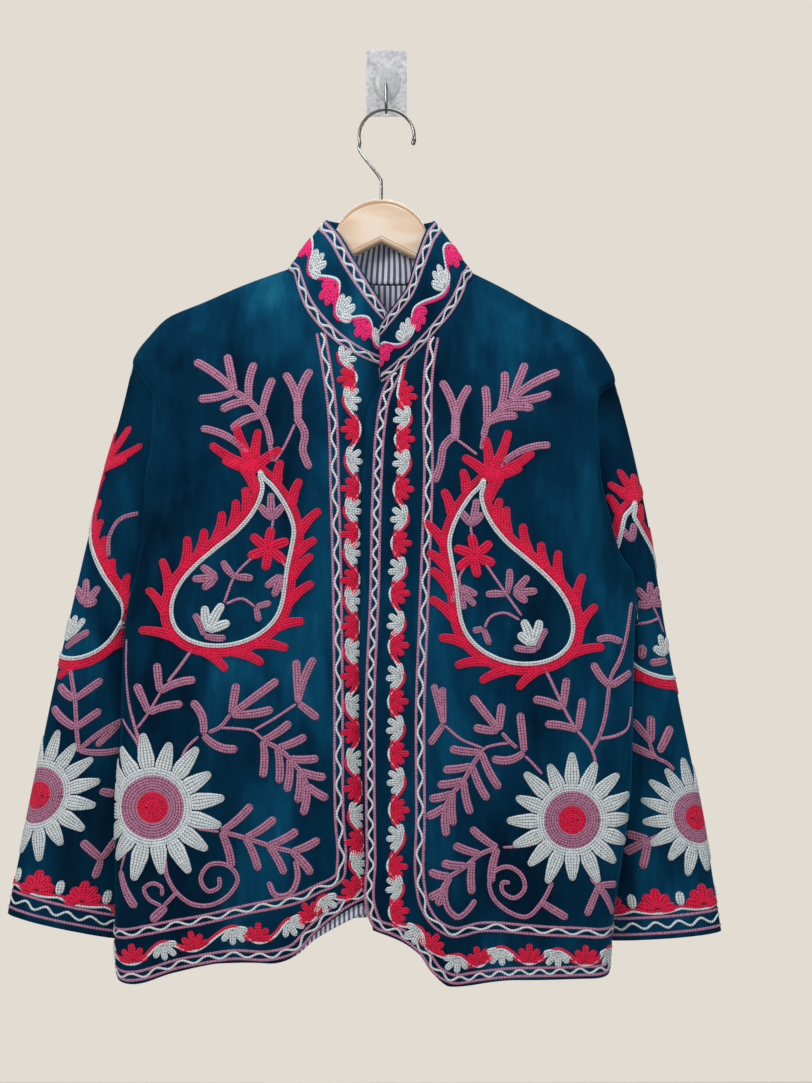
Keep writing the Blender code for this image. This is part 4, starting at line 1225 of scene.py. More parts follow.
def vine(panel, path, whites, reds, swing=7.0, size=18.5, warm="red", spreads=(74.0, 60.0), lobes=(5, 4), width=7.2):
    """A double line that swings between flowers: white ones on one side and warm ones on the other."""
    at = distances(path)
    places = np.concatenate([whites, reds])
    sides = np.concatenate([-np.ones(len(whites)), np.ones(len(reds))])
    order = np.argsort(places)
    middle = offset(path, swing * smooth(places[order], sides[order], at))
    panel.stroke(warm, offset(middle, -1.3), 2.9, high=1.1, round_ends=False)
    panel.stroke("white", offset(middle, 1.3), 2.9, high=1.1, round_ends=False)
    slope = np.gradient(path, axis=0)
    slope /= np.linalg.norm(slope, axis=1)[:, None]
    for yarn, spots, sign in (("white", whites, 1.0), (warm, reds, -1.0)):
        for spot in spots:
            i = int(np.argmin(np.abs(at - spot)))
            across = np.array([-slope[i, 1], slope[i, 0]]) * sign
            which = int(sign > 0)
            lean = turned(across, 16.0 * which)
            palmette(panel, yarn, middle[i] + across * 1.0, lean, size, lobes[which], spreads[which], width)


def nearest(path, points):
    """Distances along a path to where it passes nearest to each point."""
    at = distances(path)
    return np.array([at[np.argmin(np.hypot(*(path - point).T))] for point in np.asarray(points, float)])


# Where the motifs lie on each panel

# Shift of a paisley's middle from its foot's, by height from its foot up
CUFF_LINES = {"right": (852.5, 0.212), "left": (871.0, 0.07)}  # drop at the outer line, and how it falls
BODY_PAISLEY = ((0, 0), (0.16, -7), (0.29, -12), (0.40, -19), (0.525, -33), (0.66, -49), (0.79, -54), (0.90, -50), (1, -38))
RIGHT_SLEEVE_PAISLEY = ((0, 0), (0.23, 0), (0.44, -23), (0.62, -33), (0.85, -32), (1, -17))
LEFT_SLEEVE_PAISLEY = ((0, 0), (0.3, 8), (0.5, 17), (0.68, 23), (0.89, 26), (1, 11))


def body_panel(side, back=False, raised=0.0):
    """One half of the body, on the front or the back, with its motifs raised by some mm."""
    turn, plane = (back_turn, back_plane) if back else (front_turn, front_plane)

    def mapped(across, down):
        return surface(side, across * MM, (down - raised) * MM, turn, plane)

    def limit(across, down):
        return section_end(side, (down - raised) * MM, turn) / MM - 2.0

    name = f"{side.name}_{'back' if back else 'front'}{'_field' if raised else ''}"
    return Panel(name, mapped, (0, 1 if back else -1, 0), (120, 500), limit)


def hem_points(hem, reaches, up):
    return [(reach, hem("drop", reach * MM) / MM - up) for reach in reaches]


def right_field(panel):
    """The sprigs, paisley and daisy of the right front."""
    limbs(panel, (147, 333), (189, 301, 0.05), (156, 294), (184, 340, -0.05), width=9.2)
    limbs(panel, (132, 343), (127, 303, -0.08), (161, 352, 0.08), width=9.2)
    limbs(panel, (119, 357), (108, 319, -0.05), (150, 372, 0.10))
    stem(panel, (147, 333), (132, 343), (119, 358), (112, 376), (110, 388), width=7.4)
    stem(panel, (111, 384), (108, 404), width=5.0)
    limbs(panel, (133, 396), (181, 370, 0.10), width=8.0)
    stem(panel, (133, 396), (126, 408))
    limbs(panel, (83, 362), (97, 314, 0.10), (70, 310, -0.10), width=9.0)
    stem(panel, (85, 358), (76, 376), (78, 392), (71, 411), width=8.4)
    stem(panel, (86, 366), (97, 390), (106, 404))
    paisley(panel, (163, 588), 177, 55, BODY_PAISLEY)
    tulip(panel, "mauve", (107, 462), (109, 435), (121, 447), (96, 447))
    stem(panel, (107, 462), (111, 484))
    little_flower(panel, "red", (112, 491), 22)
    stem(panel, (124, 496), (145, 518), (156, 545))
    tulip(panel, "mauve", (145, 520), (158, 503), (127, 521), width=8.5)
    tulip(panel, "mauve", (163, 518), (179, 508), (188, 521), (178, 531))
    stem(panel, (100, 500), (94, 512), (96, 524))
    tulip(panel, "mauve", (100, 517), (107, 539), (96, 536), (115, 529))
    stem(panel, (154, 546), (138, 541), (125, 549))
    limbs(panel, (124, 549), (109, 545), (121, 564), width=7.0)
    tulip(panel, "white", (171, 574), (175, 548), (157, 546), (150, 565), width=10.5)
    limbs(panel, (176, 578), (186, 556, 0.05), (154, 580, 0.05), width=7.4)
    stem(panel, (187, 590), (198, 606), (212, 624), width=4.0)
    limbs(panel, (220, 634), (223, 605), (184, 622, -0.08), width=8.8)
    stem(panel, (219, 634), (226, 646), (232, 656), (242, 670))
    limbs(panel, (231, 655), (243, 626), (197, 646, -0.06), width=8.4)
    stem(panel, (255, 582), (255, 610), (251, 642), (243, 672), (236, 700), width=3.8)
    stem(panel, (260, 662), (245, 679), (236, 700))
    limbs(panel, (176, 676), (188, 643, 0.14), (142, 690, 0.14), width=9.0)
    stem(panel, (181, 678), (193, 690), (201, 708))
    stem(panel, (171, 674), (160, 669), (149, 656), width=4.4)
    limbs(panel, (148, 656), (143, 625), (102, 622), (107, 651, 0.05), width=9.0)
    stem(panel, (160, 669), (142, 670), (126, 673), (116, 682))
    stem(panel, (126, 672), (105, 660), (84, 646))
    limbs(panel, (82, 645), (84, 602), (66, 600, -0.05), (62, 661), width=8.6)
    fern(panel, ((117, 682), (99, 692), (86, 705), (77, 717), (72, 728)), ((1, 5, 33, 25), (-1, 5, 37, 30)))
    daisy(panel, (226.5, 748.5), 71)
    stem(panel, (181, 769), (160, 772))
    fern(panel, ((158, 772), (128, 781), (104, 788), (86, 792)), ((1, 4, 40, 30), (-1, 4, 38, 30)), (58, 36))
    stem(panel, (84, 800), (82, 818), (91, 834), (104, 835), (111, 822), width=6.5)
    stem(panel, (215, 795), (211, 818), (202, 832), (186, 843), (170, 845), (149, 834), (142, 820), (152, 806),
         (170, 805), (178, 819), (170, 831), (160, 827), (160, 817), width=5.0)
    stem(panel, (202, 832), (215, 846), width=4.4)
    limbs(panel, (212, 846), (228, 861), width=10.0)
    stem(panel, (217, 846), (231, 839), (235, 829), (226, 824), (217, 828), (217, 836), width=4.6)
    limbs(panel, (259, 812), (243, 848, 0.06), width=8.6)
    stem(panel, (252, 790), (259, 812))


def left_field(panel):
    """The sprigs, paisley and daisy of the left front."""
    limbs(panel, (131, 342), (181, 312, 0.06), (147, 303), (172, 334, -0.06), width=9.2)
    limbs(panel, (120, 352), (125, 312, -0.06), (154, 350, 0.08), width=9.2)
    limbs(panel, (106, 366), (105, 327, -0.04), (138, 358, 0.10))
    stem(panel, (131, 342), (120, 352), (107, 366), (103, 380), width=7.4)
    stem(panel, (104, 376), (101, 392), width=5.0)
    limbs(panel, (123, 405), (171, 387, 0.10), width=8.0)
    stem(panel, (123, 405), (118, 414))
    limbs(panel, (75, 383), (61, 322, -0.10), (90, 327, 0.10), width=9.0)
    stem(panel, (76, 376), (64, 388), (60, 408), (54, 425), width=8.4)
    stem(panel, (77, 382), (88, 390), (97, 397))
    paisley(panel, (146, 606), 187, 56, BODY_PAISLEY)
    tulip(panel, "mauve", (90, 468), (96, 441), (79, 453), (102, 455))
    stem(panel, (90, 468), (93, 488))
    little_flower(panel, "red", (94, 498), 22)
    stem(panel, (105, 506), (126, 537), (141, 558))
    tulip(panel, "mauve", (126, 537), (129, 511), (105, 537), width=8.5)
    tulip(panel, "mauve", (133, 533), (148, 518), (157, 533), (147, 544))
    stem(panel, (85, 508), (79, 520), (80, 532))
    tulip(panel, "mauve", (81, 528), (84, 552), (71, 545), (95, 548), (97, 537), width=8.0)
    stem(panel, (139, 562), (123, 555), (109, 560), (104, 570))
    limbs(panel, (103, 571), (92, 573), (109, 587), width=7.0)
    tulip(panel, "white", (151, 588), (142, 562), (159, 562), (137, 576), width=10.5)
    limbs(panel, (156, 592), (166, 571, 0.05), (133, 589, 0.05), width=7.4)
    stem(panel, (163, 608), (173, 629), (182, 648), (193, 668), (211, 692), (214, 704), (207, 717), width=4.0)
    limbs(panel, (182, 650), (186, 620), (152, 641, -0.05), width=8.8)
    limbs(panel, (197, 672), (202, 640), (164, 666, -0.05), width=8.6)
    limbs(panel, (230, 629), (212, 605, 0.06), (252, 615, 0.05), width=8.4)
    stem(panel, (250, 545), (244, 582), (238, 602), (230, 620), (227, 640), (225, 655), (217, 681), (211, 692), width=4.4)
    limbs(panel, (240, 585), (216, 583, -0.16), width=7.6)
    stem(panel, (217, 681), (236, 677), (248, 670), (253, 650), width=4.0)
    limbs(panel, (143, 693), (139, 654), (111, 700, 0.14), width=8.8)
    stem(panel, (144, 697), (152, 705), (161, 715))
    stem(panel, (136, 689), (128, 682), (121, 674), width=4.4)
    limbs(panel, (118, 672), (91, 638), (121, 645), (93, 669, 0.05), width=9.0)
    stem(panel, (128, 684), (116, 686), (103, 691), (97, 702))
    stem(panel, (102, 690), (82, 682), (64, 667))
    limbs(panel, (63, 666), (53, 626), (62, 629), (49, 686), width=7.6)
    fern(panel, ((101, 694), (94, 704), (82, 724), (71, 736), (64, 748)), ((1, 5, 32, 22), (-1, 5, 40, 30)))
    daisy(panel, (191, 761), 64, turn=0.0)
    stem(panel, (150, 785), (122, 788))
    fern(panel, ((117, 789), (100, 796), (84, 808), (68, 816)), ((1, 4, 33, 22), (-1, 3, 36, 31)), (58, 40))
    limbs(panel, (64, 827), (48, 837), width=8.6)
    stem(panel, (66, 820), (64, 833), (68, 848), (78, 856), (88, 850), (95, 841), width=6.5)
    stem(panel, (171, 822), (160, 842), (145, 856), (128, 852), (112, 838), (109, 823), (116, 811), (127, 807),
         (141, 816), (143, 829), (132, 838), (121, 831), (122, 823), (129, 823), width=5.0)
    limbs(panel, (159, 841), (186, 858), width=8.2)
    limbs(panel, (217, 826), (205, 856), (238, 827, 0.05), (236, 856), width=7.8)
    stem(panel, (209, 818), (218, 828), width=4.4)


def right_edges(panel):
    """The borders and the vine down the right front's edge and along its hem."""
    hem = RIGHT.hem
    middle = [(-3, 308), (-6, 340), (-9, 420), (-8, 540), (-7, 700), (-10, 800), (-10, 825)]
    border(panel, curve(*middle, *hem_points(hem, (2, 20, 45, 68, 85, 110, 150, 200, 245, 290, 320), 8)))
    outer = [(61, 272), (56, 300), (49, 350), (46, 430), (44, 500), (42, 640), (41, 760), (39, 806), (41, 819)]
    level = [(48, 824), (62, 829), (80, 837), (110, 845), (145, 853), (200, 863), (260, 875), (320, 874)]
    border(panel, curve(*outer, *level), period=29.0)
    path = curve((36, 291), (31, 330), (29, 500), (27, 700), (24, 790), (26, 828), (36, 838), (58, 845), (78, 858),
                 (100, 872), (150, 875), (200, 885), (245, 896), (320, 894))
    whites = nearest(path, [(28, b) for b in (298, 340, 403, 452, 495, 543, 595, 650, 706, 760, 806)])
    reds = nearest(path, [(28, b) for b in (318, 370, 430, 477, 522, 570, 620, 676, 732, 785, 830)])
    whites = np.append(whites, nearest(path, [(56, 847), (88, 866), (147, 876), (215, 888), (284, 895)]))
    reds = np.append(reds, nearest(path, [(73, 848), (121, 873), (186, 882), (246, 896)]))
    vine(panel, path, whites, reds)


def left_edges(panel):
    hem = LEFT.hem
    middle = [(16, 314), (6, 335), (0, 370), (-3, 420), (-6, 540), (-10, 640), (-10, 722), (-9, 800), (-8, 852)]
    border(panel, curve(*middle, *hem_points(hem, (-2, 10, 25, 42, 58, 72, 90, 140, 190, 240, 290), 8)), period=20.0)
    outer = [(54, 277), (50, 300), (48, 420), (43, 560), (40, 640), (40, 760), (40, 826), (43, 842)]
    level = [(51, 857), (72, 870), (101, 868), (133, 868), (180, 871), (232, 874), (290, 874)]
    border(panel, curve(*outer, *level), period=30.0)
    path = curve((32, 300), (26, 330), (22, 420), (18, 520), (16, 640), (17, 760), (16, 835), (20, 862), (36, 874),
                 (54, 884), (66, 897), (82, 901), (110, 896), (150, 895), (200, 897), (290, 897))
    whites = nearest(path, [(18, b) for b in (361, 406, 462, 514, 568, 619, 672, 723, 780, 830)])
    reds = nearest(path, [(18, b) for b in (336, 382, 432, 486, 536, 587, 644, 696, 752, 807, 853)])
    whites = np.append(whites, nearest(path, [(37, 875), (77, 900), (119, 896), (176, 896), (232, 897)]))
    reds = np.append(reds, nearest(path, [(51, 882), (98, 898), (148, 895), (204, 897), (262, 897)]))
    vine(panel, path, whites, reds)


def back_edges(panel, hem):
    """The hem's borders and vine, from the middle of the back to the side seam."""
    steps = (0, 30, 60, 95, 130, 170, 210, 250, 290)
    border(panel, curve(*hem_points(hem, steps, 11)))
    border(panel, curve(*hem_points(hem, steps, 46)), period=29.0)
    path = curve(*hem_points(hem, steps, 28))
    vine(panel, path, nearest(path, hem_points(hem, range(27, 290, 54), 28)),
         nearest(path, hem_points(hem, range(0, 290, 54), 28)))


def back_middle(panel):
    """A stem down half of the middle of the back, with leaves off it."""
    for drop in range(300, 800, 56):
        limbs(panel, (1, drop + 30), (24, drop, 0.10), width=8.0)
    stem(panel, (0.5, 270), (0.5, 540), (0.5, 815), width=3.6)


def right_sleeve_field(panel):
    """The paisley, sprigs and daisy of the right sleeve, with smaller ones on its back."""
    paisley(panel, (20, 600), 190, 46, RIGHT_SLEEVE_PAISLEY, flames=(8, 8), size=25.0, crown=0.85)
    stem(panel, (38, 499), (35, 479), (43, 462), (60, 456), width=5.0)
    tulip(panel, "mauve", (22, 546), (18, 521), (35, 528), (7, 530), (36, 542), width=10.0)
    tulip(panel, "white", (9, 582), (16, 557), (27, 560), (6, 560), width=9.5)
    limbs(panel, (12, 590), (36, 573, 0.05), width=8.4)
    stem(panel, (22, 608), (36, 642), (44, 672), (50, 692), width=5.0)
    limbs(panel, (35, 640), (14, 626, 0.05), (59, 620), width=9.0)
    limbs(panel, (42, 668), (12, 648, 0.05), (64, 650), width=9.0)
    limbs(panel, (50, 690), (90, 690, -0.06), (102, 656, 0.08), width=7.0)
    limbs(panel, (66, 686), (84, 664), width=8.8)
    daisy(panel, (15, 736), 63)
    limbs(panel, (78, 730), (94, 734), width=8.8)
    limbs(panel, (93, 798), (70, 780), (106, 775), (90, 817), width=9.0)
    back_of_sleeve(panel, 590.0, 733.0)


def left_sleeve_field(panel):
    """The paisley, sprigs and daisy of the left sleeve, with smaller ones on its back."""
    paisley(panel, (8, 620), 178, 52, LEFT_SLEEVE_PAISLEY, flames=(8, 8), size=28.0, crown=0.62)
    tulip(panel, "mauve", (35, 484), (30, 466), (44, 470), width=8.0)
    tulip(panel, "mauve", (22, 546), (20, 524), (36, 530), (8, 530), (38, 546), (6, 546), width=9.6)
    stem(panel, (22, 546), (16, 560), (12, 574))
    stem(panel, (16, 560), (30, 564), (44, 566))
    tulip(panel, "white", (14, 596), (18, 576), (28, 588), (6, 580), width=9.5)
    limbs(panel, (14, 602), (34, 604), width=8.4)
    limbs(panel, (42, 600), (38, 586), width=9.0)
    limbs(panel, (48, 682), (62, 660), (43, 656), width=9.0)
    limbs(panel, (42, 692), (24, 667), width=9.0)
    limbs(panel, (46, 697), (70, 685), width=9.0)
    stem(panel, (50, 680), (46, 697), (36, 703), (30, 710), width=4.4)
    daisy(panel, (15, 758), 57, turn=3.0)
    stem(panel, (50, 770), (68, 778))
    limbs(panel, (68, 778), (79, 807), (90, 773), (94, 792), width=9.0)
    back_of_sleeve(panel, 604.0, 756.0)


def back_of_sleeve(panel, foot, middle):
    paisley(panel, (-88, foot), 160, 30, RIGHT_SLEEVE_PAISLEY[:1] + ((0.5, 6), (1, 18)), flames=(7, 7), size=20.0, crown=0.6)
    tulip(panel, "mauve", (-84, foot - 56), (-80, foot - 78), (-96, foot - 72), (-72, foot - 68))
    little_flower(panel, "red", (-85, foot - 28), 12)
    stem(panel, (-88, foot + 8), (-84, foot + 40), (-86, middle - 44), width=5.0)
    limbs(panel, (-86, foot + 40), (-106, foot + 22), (-64, foot + 20), width=8.8)
    limbs(panel, (-85, foot + 66), (-108, foot + 50), (-60, foot + 48), width=8.8)
    daisy(panel, (-96, middle), 43)


def cuff(panel, side, first):
    """A row of flowers over a scalloped line and a border, round the end of a sleeve."""
    start, slope = CUFF_LINES[side.name]

    def above(rounds, up):
        rounds = np.asarray(rounds, float)
        lift = np.maximum(np.abs(rounds) - 10.0, 0.0)
        return np.stack([rounds, start + slope * lift - up], axis=-1)

    rounds = np.arange(-150.0, 151.0, 2.0)
    scallops = np.abs(np.sin(math.pi * (rounds - first) / 48.0 + math.pi / 2))
    line = above(rounds, 25.0 + 3.5 * (1 - scallops))
    for yarn, move in (("red", -1.3), ("white", 1.3)):
        panel.stroke(yarn, offset(line, move), 2.9, round_ends=False)
    for k in range(-3, 4):
        palmette(panel, "red", above(first + 48.0 * k, 27.0), (0.0, -1.0), 22.0, 5, 76.0, 11.5)
        bud = above([first + 24.0 + 48.0 * k] * 2, np.array([30.0, 44.0]))
        panel.stroke("white", bud, (8.0, 10.0, 8.0), rows=3, high=1.3)
    border(panel, above(rounds, 12.5), half=8.0, swing=3.0, period=23.0)


def collar_edges(panel, length):
    """Borders along both edges of the collar, and a vine between them."""
    along = np.arange(1.0, length, 2.0)
    for up in (6.0, 53.5):
        level = np.stack([along, np.full(len(along), up)], axis=-1)
        border(panel, level, half=3.6, swing=2.4, period=24.0, line=3.2, yarn="rose")
    path = np.stack([along, np.full(len(along), 28.5)], axis=-1)
    warm = length - np.array([8.0, 67.0, 152.0, 212.0, 272.0, 332.0, 374.0, 438.0, 496.0])
    white = length - np.array([42.0, 116.0, 182.0, 242.0, 302.0, 352.0, 400.0, 462.0, 518.0])
    vine(panel, path, white, warm, 9.5, 22.0, "pink", spreads=(50.0, 50.0), lobes=(4, 4), width=9.6)


def embroider(finishes):
    """Every panel's stitching, by the node of the cloth that it is on."""
    sewn = {}
    plans = (
        (RIGHT, right_field, right_edges, right_sleeve_field, 34.0),
        (LEFT, left_field, left_edges, left_sleeve_field, 22.0),
    )
    for side, field, edges, sleeve_motifs, first in plans:
        front = body_panel(side)
        field(front)
        edges(front)
        sewn[f"{side.name}_front"] = front.sew(finishes)
        back, raised = body_panel(side, True), body_panel(side, True, 14.0)
        back_edges(back, side.back_hem)
        back_middle(back)
        field(raised)
        sewn["back"] = sewn.get("back", []) + back.sew(finishes) + raised.sew(finishes)
        on_sleeve = SleeveMap(side)
        sleeve = Panel(f"{side.name}_sleeve", on_sleeve, (0, -1, 0), (40, 760), on_sleeve.limit)
        sleeve_motifs(sleeve)
        cuff(sleeve, side, first)
        sewn[f"{side.name}_sleeve"] = sleeve.sew(finishes)
    mapped, length = collar_map()
    collar = Panel("collar", mapped, (0, -1, 0), (60, 30))
    collar_edges(collar, length)
    sewn["collar"] = collar.sew(finishes)
    return sewn


# Finishes


class Finish:
    """A material with its shader, and short ways to add nodes to it."""

    def __init__(self, name, roughness, **sockets):
        self.material = bpy.data.materials.new(name)
        self.material.use_nodes = True
        self.tree = self.material.node_tree
        self.shader = self.tree.nodes["Principled BSDF"]
        self.shader.inputs["Roughness"].default_value = roughness
        for socket, value in sockets.items():
            self.shader.inputs[socket.replace("_", " ")].default_value = value

    def node(self, kind, inputs=(), **settings):
        made = self.tree.nodes.new(kind)
        for name, value in settings.items():
            setattr(made, name, value)
        for socket, value in dict(inputs).items():
            if isinstance(value, bpy.types.NodeSocket):
                self.tree.links.new(value, made.inputs[socket])
            else:
                made.inputs[socket].default_value = value
        return made

    def math(self, operation, a, b=0.0, c=0.0):
        return self.node("ShaderNodeMath", {0: a, 1: b, 2: c}, operation=operation).outputs[0]

    def place(self, stretch=(1.0, 1.0, 1.0)):
        coords = self.node("ShaderNodeTexCoord").outputs["Object"]
        return self.node("ShaderNodeMapping", {"Vector": coords, "Scale": stretch}).outputs[0]

    def noise(self, scale, detail=2.0, stretch=(1.0, 1.0, 1.0), distortion=0.0):
        inputs = {"Vector": self.place(stretch), "Scale": scale, "Detail": detail, "Distortion": distortion}
        return self.node("ShaderNodeTexNoise", inputs).outputs["Fac"]

    def ramp(self, factor, *stops):
        made = self.node("ShaderNodeValToRGB", {"Fac": factor})
        ramp = made.color_ramp
        while len(ramp.elements) < len(stops):
            ramp.elements.new(0.5)
        for element, (place, colour) in zip(ramp.elements, stops):
            element.position = place
            element.color = (*colour, 1.0)
        return made.outputs["Color"]

    def blend(self, factor, a, b):
        made = self.node("ShaderNodeMix", data_type="RGBA")
        for socket, value in zip((0, 6, 7), (factor, a, b)):
            if isinstance(value, bpy.types.NodeSocket):
                self.tree.links.new(value, made.inputs[socket])
            else:
                made.inputs[socket].default_value = value if socket == 0 else (*value, 1.0)
        return made.outputs[2]

    def colour(self, output):
        self.tree.links.new(output, self.shader.inputs["Base Color"])

    def bump(self, height, distance, strength=1.0):
        made = self.node("ShaderNodeBump", {"Height": height, "Distance": distance, "Strength": strength})
        self.tree.links.new(made.outputs[0], self.shader.inputs["Normal"])

    def rough(self, factor, low, high):
        made = self.node("ShaderNodeMapRange", {"Value": factor, "To Min": low, "To Max": high})
        self.tree.links.new(made.outputs[0], self.shader.inputs["Roughness"])


def velvet():
    """Teal pile in darker and lighter random blotches, partly the pile's own brushed colour and partly painted sheen
    and painted shade, with a pale sheen where it turns away.
    """
    made = Finish(
        "teal_velvet",
        0.95,
        Sheen_Weight=0.34,
        Sheen_Roughness=0.30,
        Sheen_Tint=(0.0, 0.34, 0.70, 1.0),
        Specular_IOR_Level=0.03,
    )
    large = made.noise(5.0, 3.0, (1.0, 1.0, 0.55), 0.25)
    small = made.noise(22.0, 5.0, (1.0, 1.0, 0.35), 0.4)
    brushed = made.noise(110.0, 3.0, (1.0, 1.0, 0.25), 0.2)
    pile_tone_and_painted_sheen = made.math("MULTIPLY_ADD", small, 0.34, made.math("MULTIPLY", large, 0.56))
    pile_tone_and_painted_sheen = made.math("MULTIPLY_ADD", brushed, 0.10, pile_tone_and_painted_sheen)
    # The ramp runs from a shaded to a lit teal: random painted shade and painted sheen over the pile's own colour
    colour = made.ramp(
        pile_tone_and_painted_sheen,
        (0.39, (0.0006, 0.0105, 0.028)),
        (0.49, (0.0010, 0.0255, 0.062)),
        (0.57, (0.0022, 0.0540, 0.120)),
        (0.66, (0.0110, 0.1200, 0.215)),
    )
    made.colour(colour)
    pile = made.math("MULTIPLY_ADD", made.noise(1300.0, 2.0), 0.6, made.math("MULTIPLY", brushed, 0.9))
    made.bump(pile, 0.0008, 0.8)
    return made.material


def yarn(name, shade, light):
    """Chain stitch: rows of links, each a V that opens along the row, with painted shade in the gaps between them and
    a painted highlight on their crowns.
    """
    made = Finish(name, 0.75, Sheen_Weight=0.12, Sheen_Roughness=0.5, Specular_IOR_Level=0.18)
    uv = made.node("ShaderNodeUVMap", uv_map="stitch").outputs[0]
    parts = made.node("ShaderNodeSeparateXYZ", {0: uv}).outputs
    uneven = made.noise(420.0, 3.0)
    from_middle = made.math("ABSOLUTE", made.math("SUBTRACT", made.math("FRACT", parts[0]), 0.5))
    sideways = made.math("MULTIPLY", from_middle, 2.0)
    along = made.math("MULTIPLY_ADD", uneven, 0.5, parts[1])
    phase = made.math("FRACT", made.math("MULTIPLY_ADD", sideways, 0.55, along))
    link = made.math("SINE", made.math("MULTIPLY", phase, math.pi))
    ridge = made.math("SUBTRACT", 1.0, made.math("POWER", sideways, 3.0))
    height = made.math("MULTIPLY", made.math("MULTIPLY_ADD", link, 0.7, 0.3), ridge)
    # The yarn's own uneven colour, plus painted shade and painted highlight that follow each link's height
    tone_and_painted_shade = made.math("MULTIPLY_ADD", uneven, 0.62, made.math("MULTIPLY", height, 0.62))
    # a deeper colour still, for the painted shade deepest in the gaps
    painted_gap_shade = tuple(channel * 0.35 for channel in shade)
    made.colour(made.ramp(tone_and_painted_shade, (0.24, painted_gap_shade), (0.44, shade), (0.80, light)))
    made.bump(made.math("MULTIPLY_ADD", uneven, 0.5, height), 0.0009, 0.9)
    return made.material


def striped(name, uv_map=None):
    """White cotton with navy pinstripes, 5.3 mm apart. The map counts stripes along its first axis."""
    made = Finish(name, 0.80, Specular_IOR_Level=0.3)
    if uv_map:
        across = made.node("ShaderNodeSeparateXYZ", {0: made.node("ShaderNodeUVMap", uv_map=uv_map).outputs[0]})
    else:
        across = made.node("ShaderNodeSeparateXYZ", {0: made.place((1 / STRIPE, 1.0, 1.0))})
    share = made.math("FRACT", across.outputs[0])
    white, navy = (0.74, 0.78, 0.88), (0.020, 0.032, 0.120)
    stripes = made.ramp(share, (0.0, navy), (0.04, white), (0.52, white), (0.56, navy), (0.96, navy))
    made.colour(made.blend(made.math("MULTIPLY", made.noise(700.0, 2.0), 0.35), stripes, (0.42, 0.46, 0.58)))
    made.bump(made.noise(1500.0, 1.0, (1.0, 1.0, 0.5)), 0.0002, 0.6)
    return made.material


def lacquered_wood():
    """Pale wood under gloss lacquer, with a tan rim and a darker line painted along the groove where it is turned
    down, as painted shade in the groove.
    """
    made = Finish("lacquered_wood", 0.22, Coat_Weight=1.0, Coat_Roughness=0.04)
    grain = made.noise(7.0, 3.0, (1.0, 2.0, 4.0), 0.8)
    body = made.ramp(grain, (0.30, (0.70, 0.50, 0.36)), (0.48, (0.84, 0.72, 0.60)), (0.62, (0.90, 0.83, 0.75)))
    edge = made.node("ShaderNodeSeparateXYZ", {0: made.node("ShaderNodeUVMap", uv_map="rim").outputs[0]})
    rim = made.node("ShaderNodeMapRange", {"Value": edge.outputs[1], "From Min": 8.5, "From Max": 3.0}).outputs[0]
    tan = made.blend(made.math("MULTIPLY", rim, 0.85), body, (0.46, 0.29, 0.17))
    # A darker line painted along the groove: painted shade in the recess
    off_line = made.math("ABSOLUTE", made.math("SUBTRACT", edge.outputs[1], RIM_IN / MM))
    line = made.math("SUBTRACT", 1.0, made.math("SMOOTH_MIN", made.math("DIVIDE", off_line, 0.8), 1.0, 0.1))
    made.colour(made.blend(made.math("MULTIPLY", line, 0.4), tan, (0.40, 0.22, 0.12)))
    made.bump(grain, 0.0002, 0.4)
    return made.material


def polished_steel():
    made = Finish("polished_steel", 0.16, Metallic=1.0)
    made.colour(made.ramp(made.noise(60.0), (0.3, (0.15, 0.16, 0.16)), (0.7, (0.30, 0.31, 0.31))))
    made.rough(made.noise(300.0, 2.0), 0.16, 0.30)
    return made.material


def clear_plastic(name, thinnest, thickest, alpha):
    """Clear moulded plastic over pale adhesive, mottled by small bubbles."""
    made = Finish(name, 0.2, IOR=1.45, Alpha=alpha, Specular_IOR_Level=0.5)
    film = made.noise(260.0, 3.0, distortion=0.4)
    made.colour(made.ramp(film, (0.30, thinnest), (0.75, thickest)))
    made.bump(film, 0.0002, 0.5)
    made.rough(film, 0.10, 0.35)
    return made.material


def floor_finish():
    made = Finish("pale_floor", 0.9)
    made.colour(made.ramp(made.noise(9.0, 4.0), (0.3, (0.72, 0.69, 0.63)), (0.7, (0.76, 0.73, 0.67))))
    return made.material


# The hanger and the wall hook


def smooth_line(points, step):
    """A curve through points that don't repeat, with a point about every step."""
    points = np.asarray(points, float)
    length = distances(points)
    at = np.linspace(0, length[-1], max(2, int(length[-1] / step)) + 1)
    slope = np.gradient(points, length, axis=0)
    i = np.clip(np.searchsorted(length, at, side="right") - 1, 0, len(points) - 2)
    span = (length[i + 1] - length[i])[:, None]
    u = (at - length[i])[:, None] / span
    start = points[i] * (1 + 2 * u) * (1 - u) ** 2 + slope[i] * span * u * (1 - u) ** 2
    end = points[i + 1] * u**2 * (3 - 2 * u) + slope[i + 1] * span * u**2 * (u - 1)
    return start + end


def wire(name, points, radius, finish, tip=1.0):
    """A round wire. tip is how much thicker its first end is, as a small bead."""
    curve = bpy.data.curves.new(name, "CURVE")
    curve.dimensions = "3D"
    curve.bevel_depth = radius
    curve.bevel_resolution = 6
    curve.use_fill_caps = True
    line = curve.splines.new("POLY")
    line.points.add(len(points) - 1)
    for i, (point, place_at) in enumerate(zip(line.points, points)):
        point.co = (*place_at, 1.0)
        point.radius = 1 + (tip - 1) * max(0.0, 1 - (i - 2) ** 2 / 9.0) if tip > 1 else 1.0
    curve.materials.append(finish)
    made = bpy.data.objects.new(name, curve)
    bpy.context.scene.collection.objects.link(made)
    return made


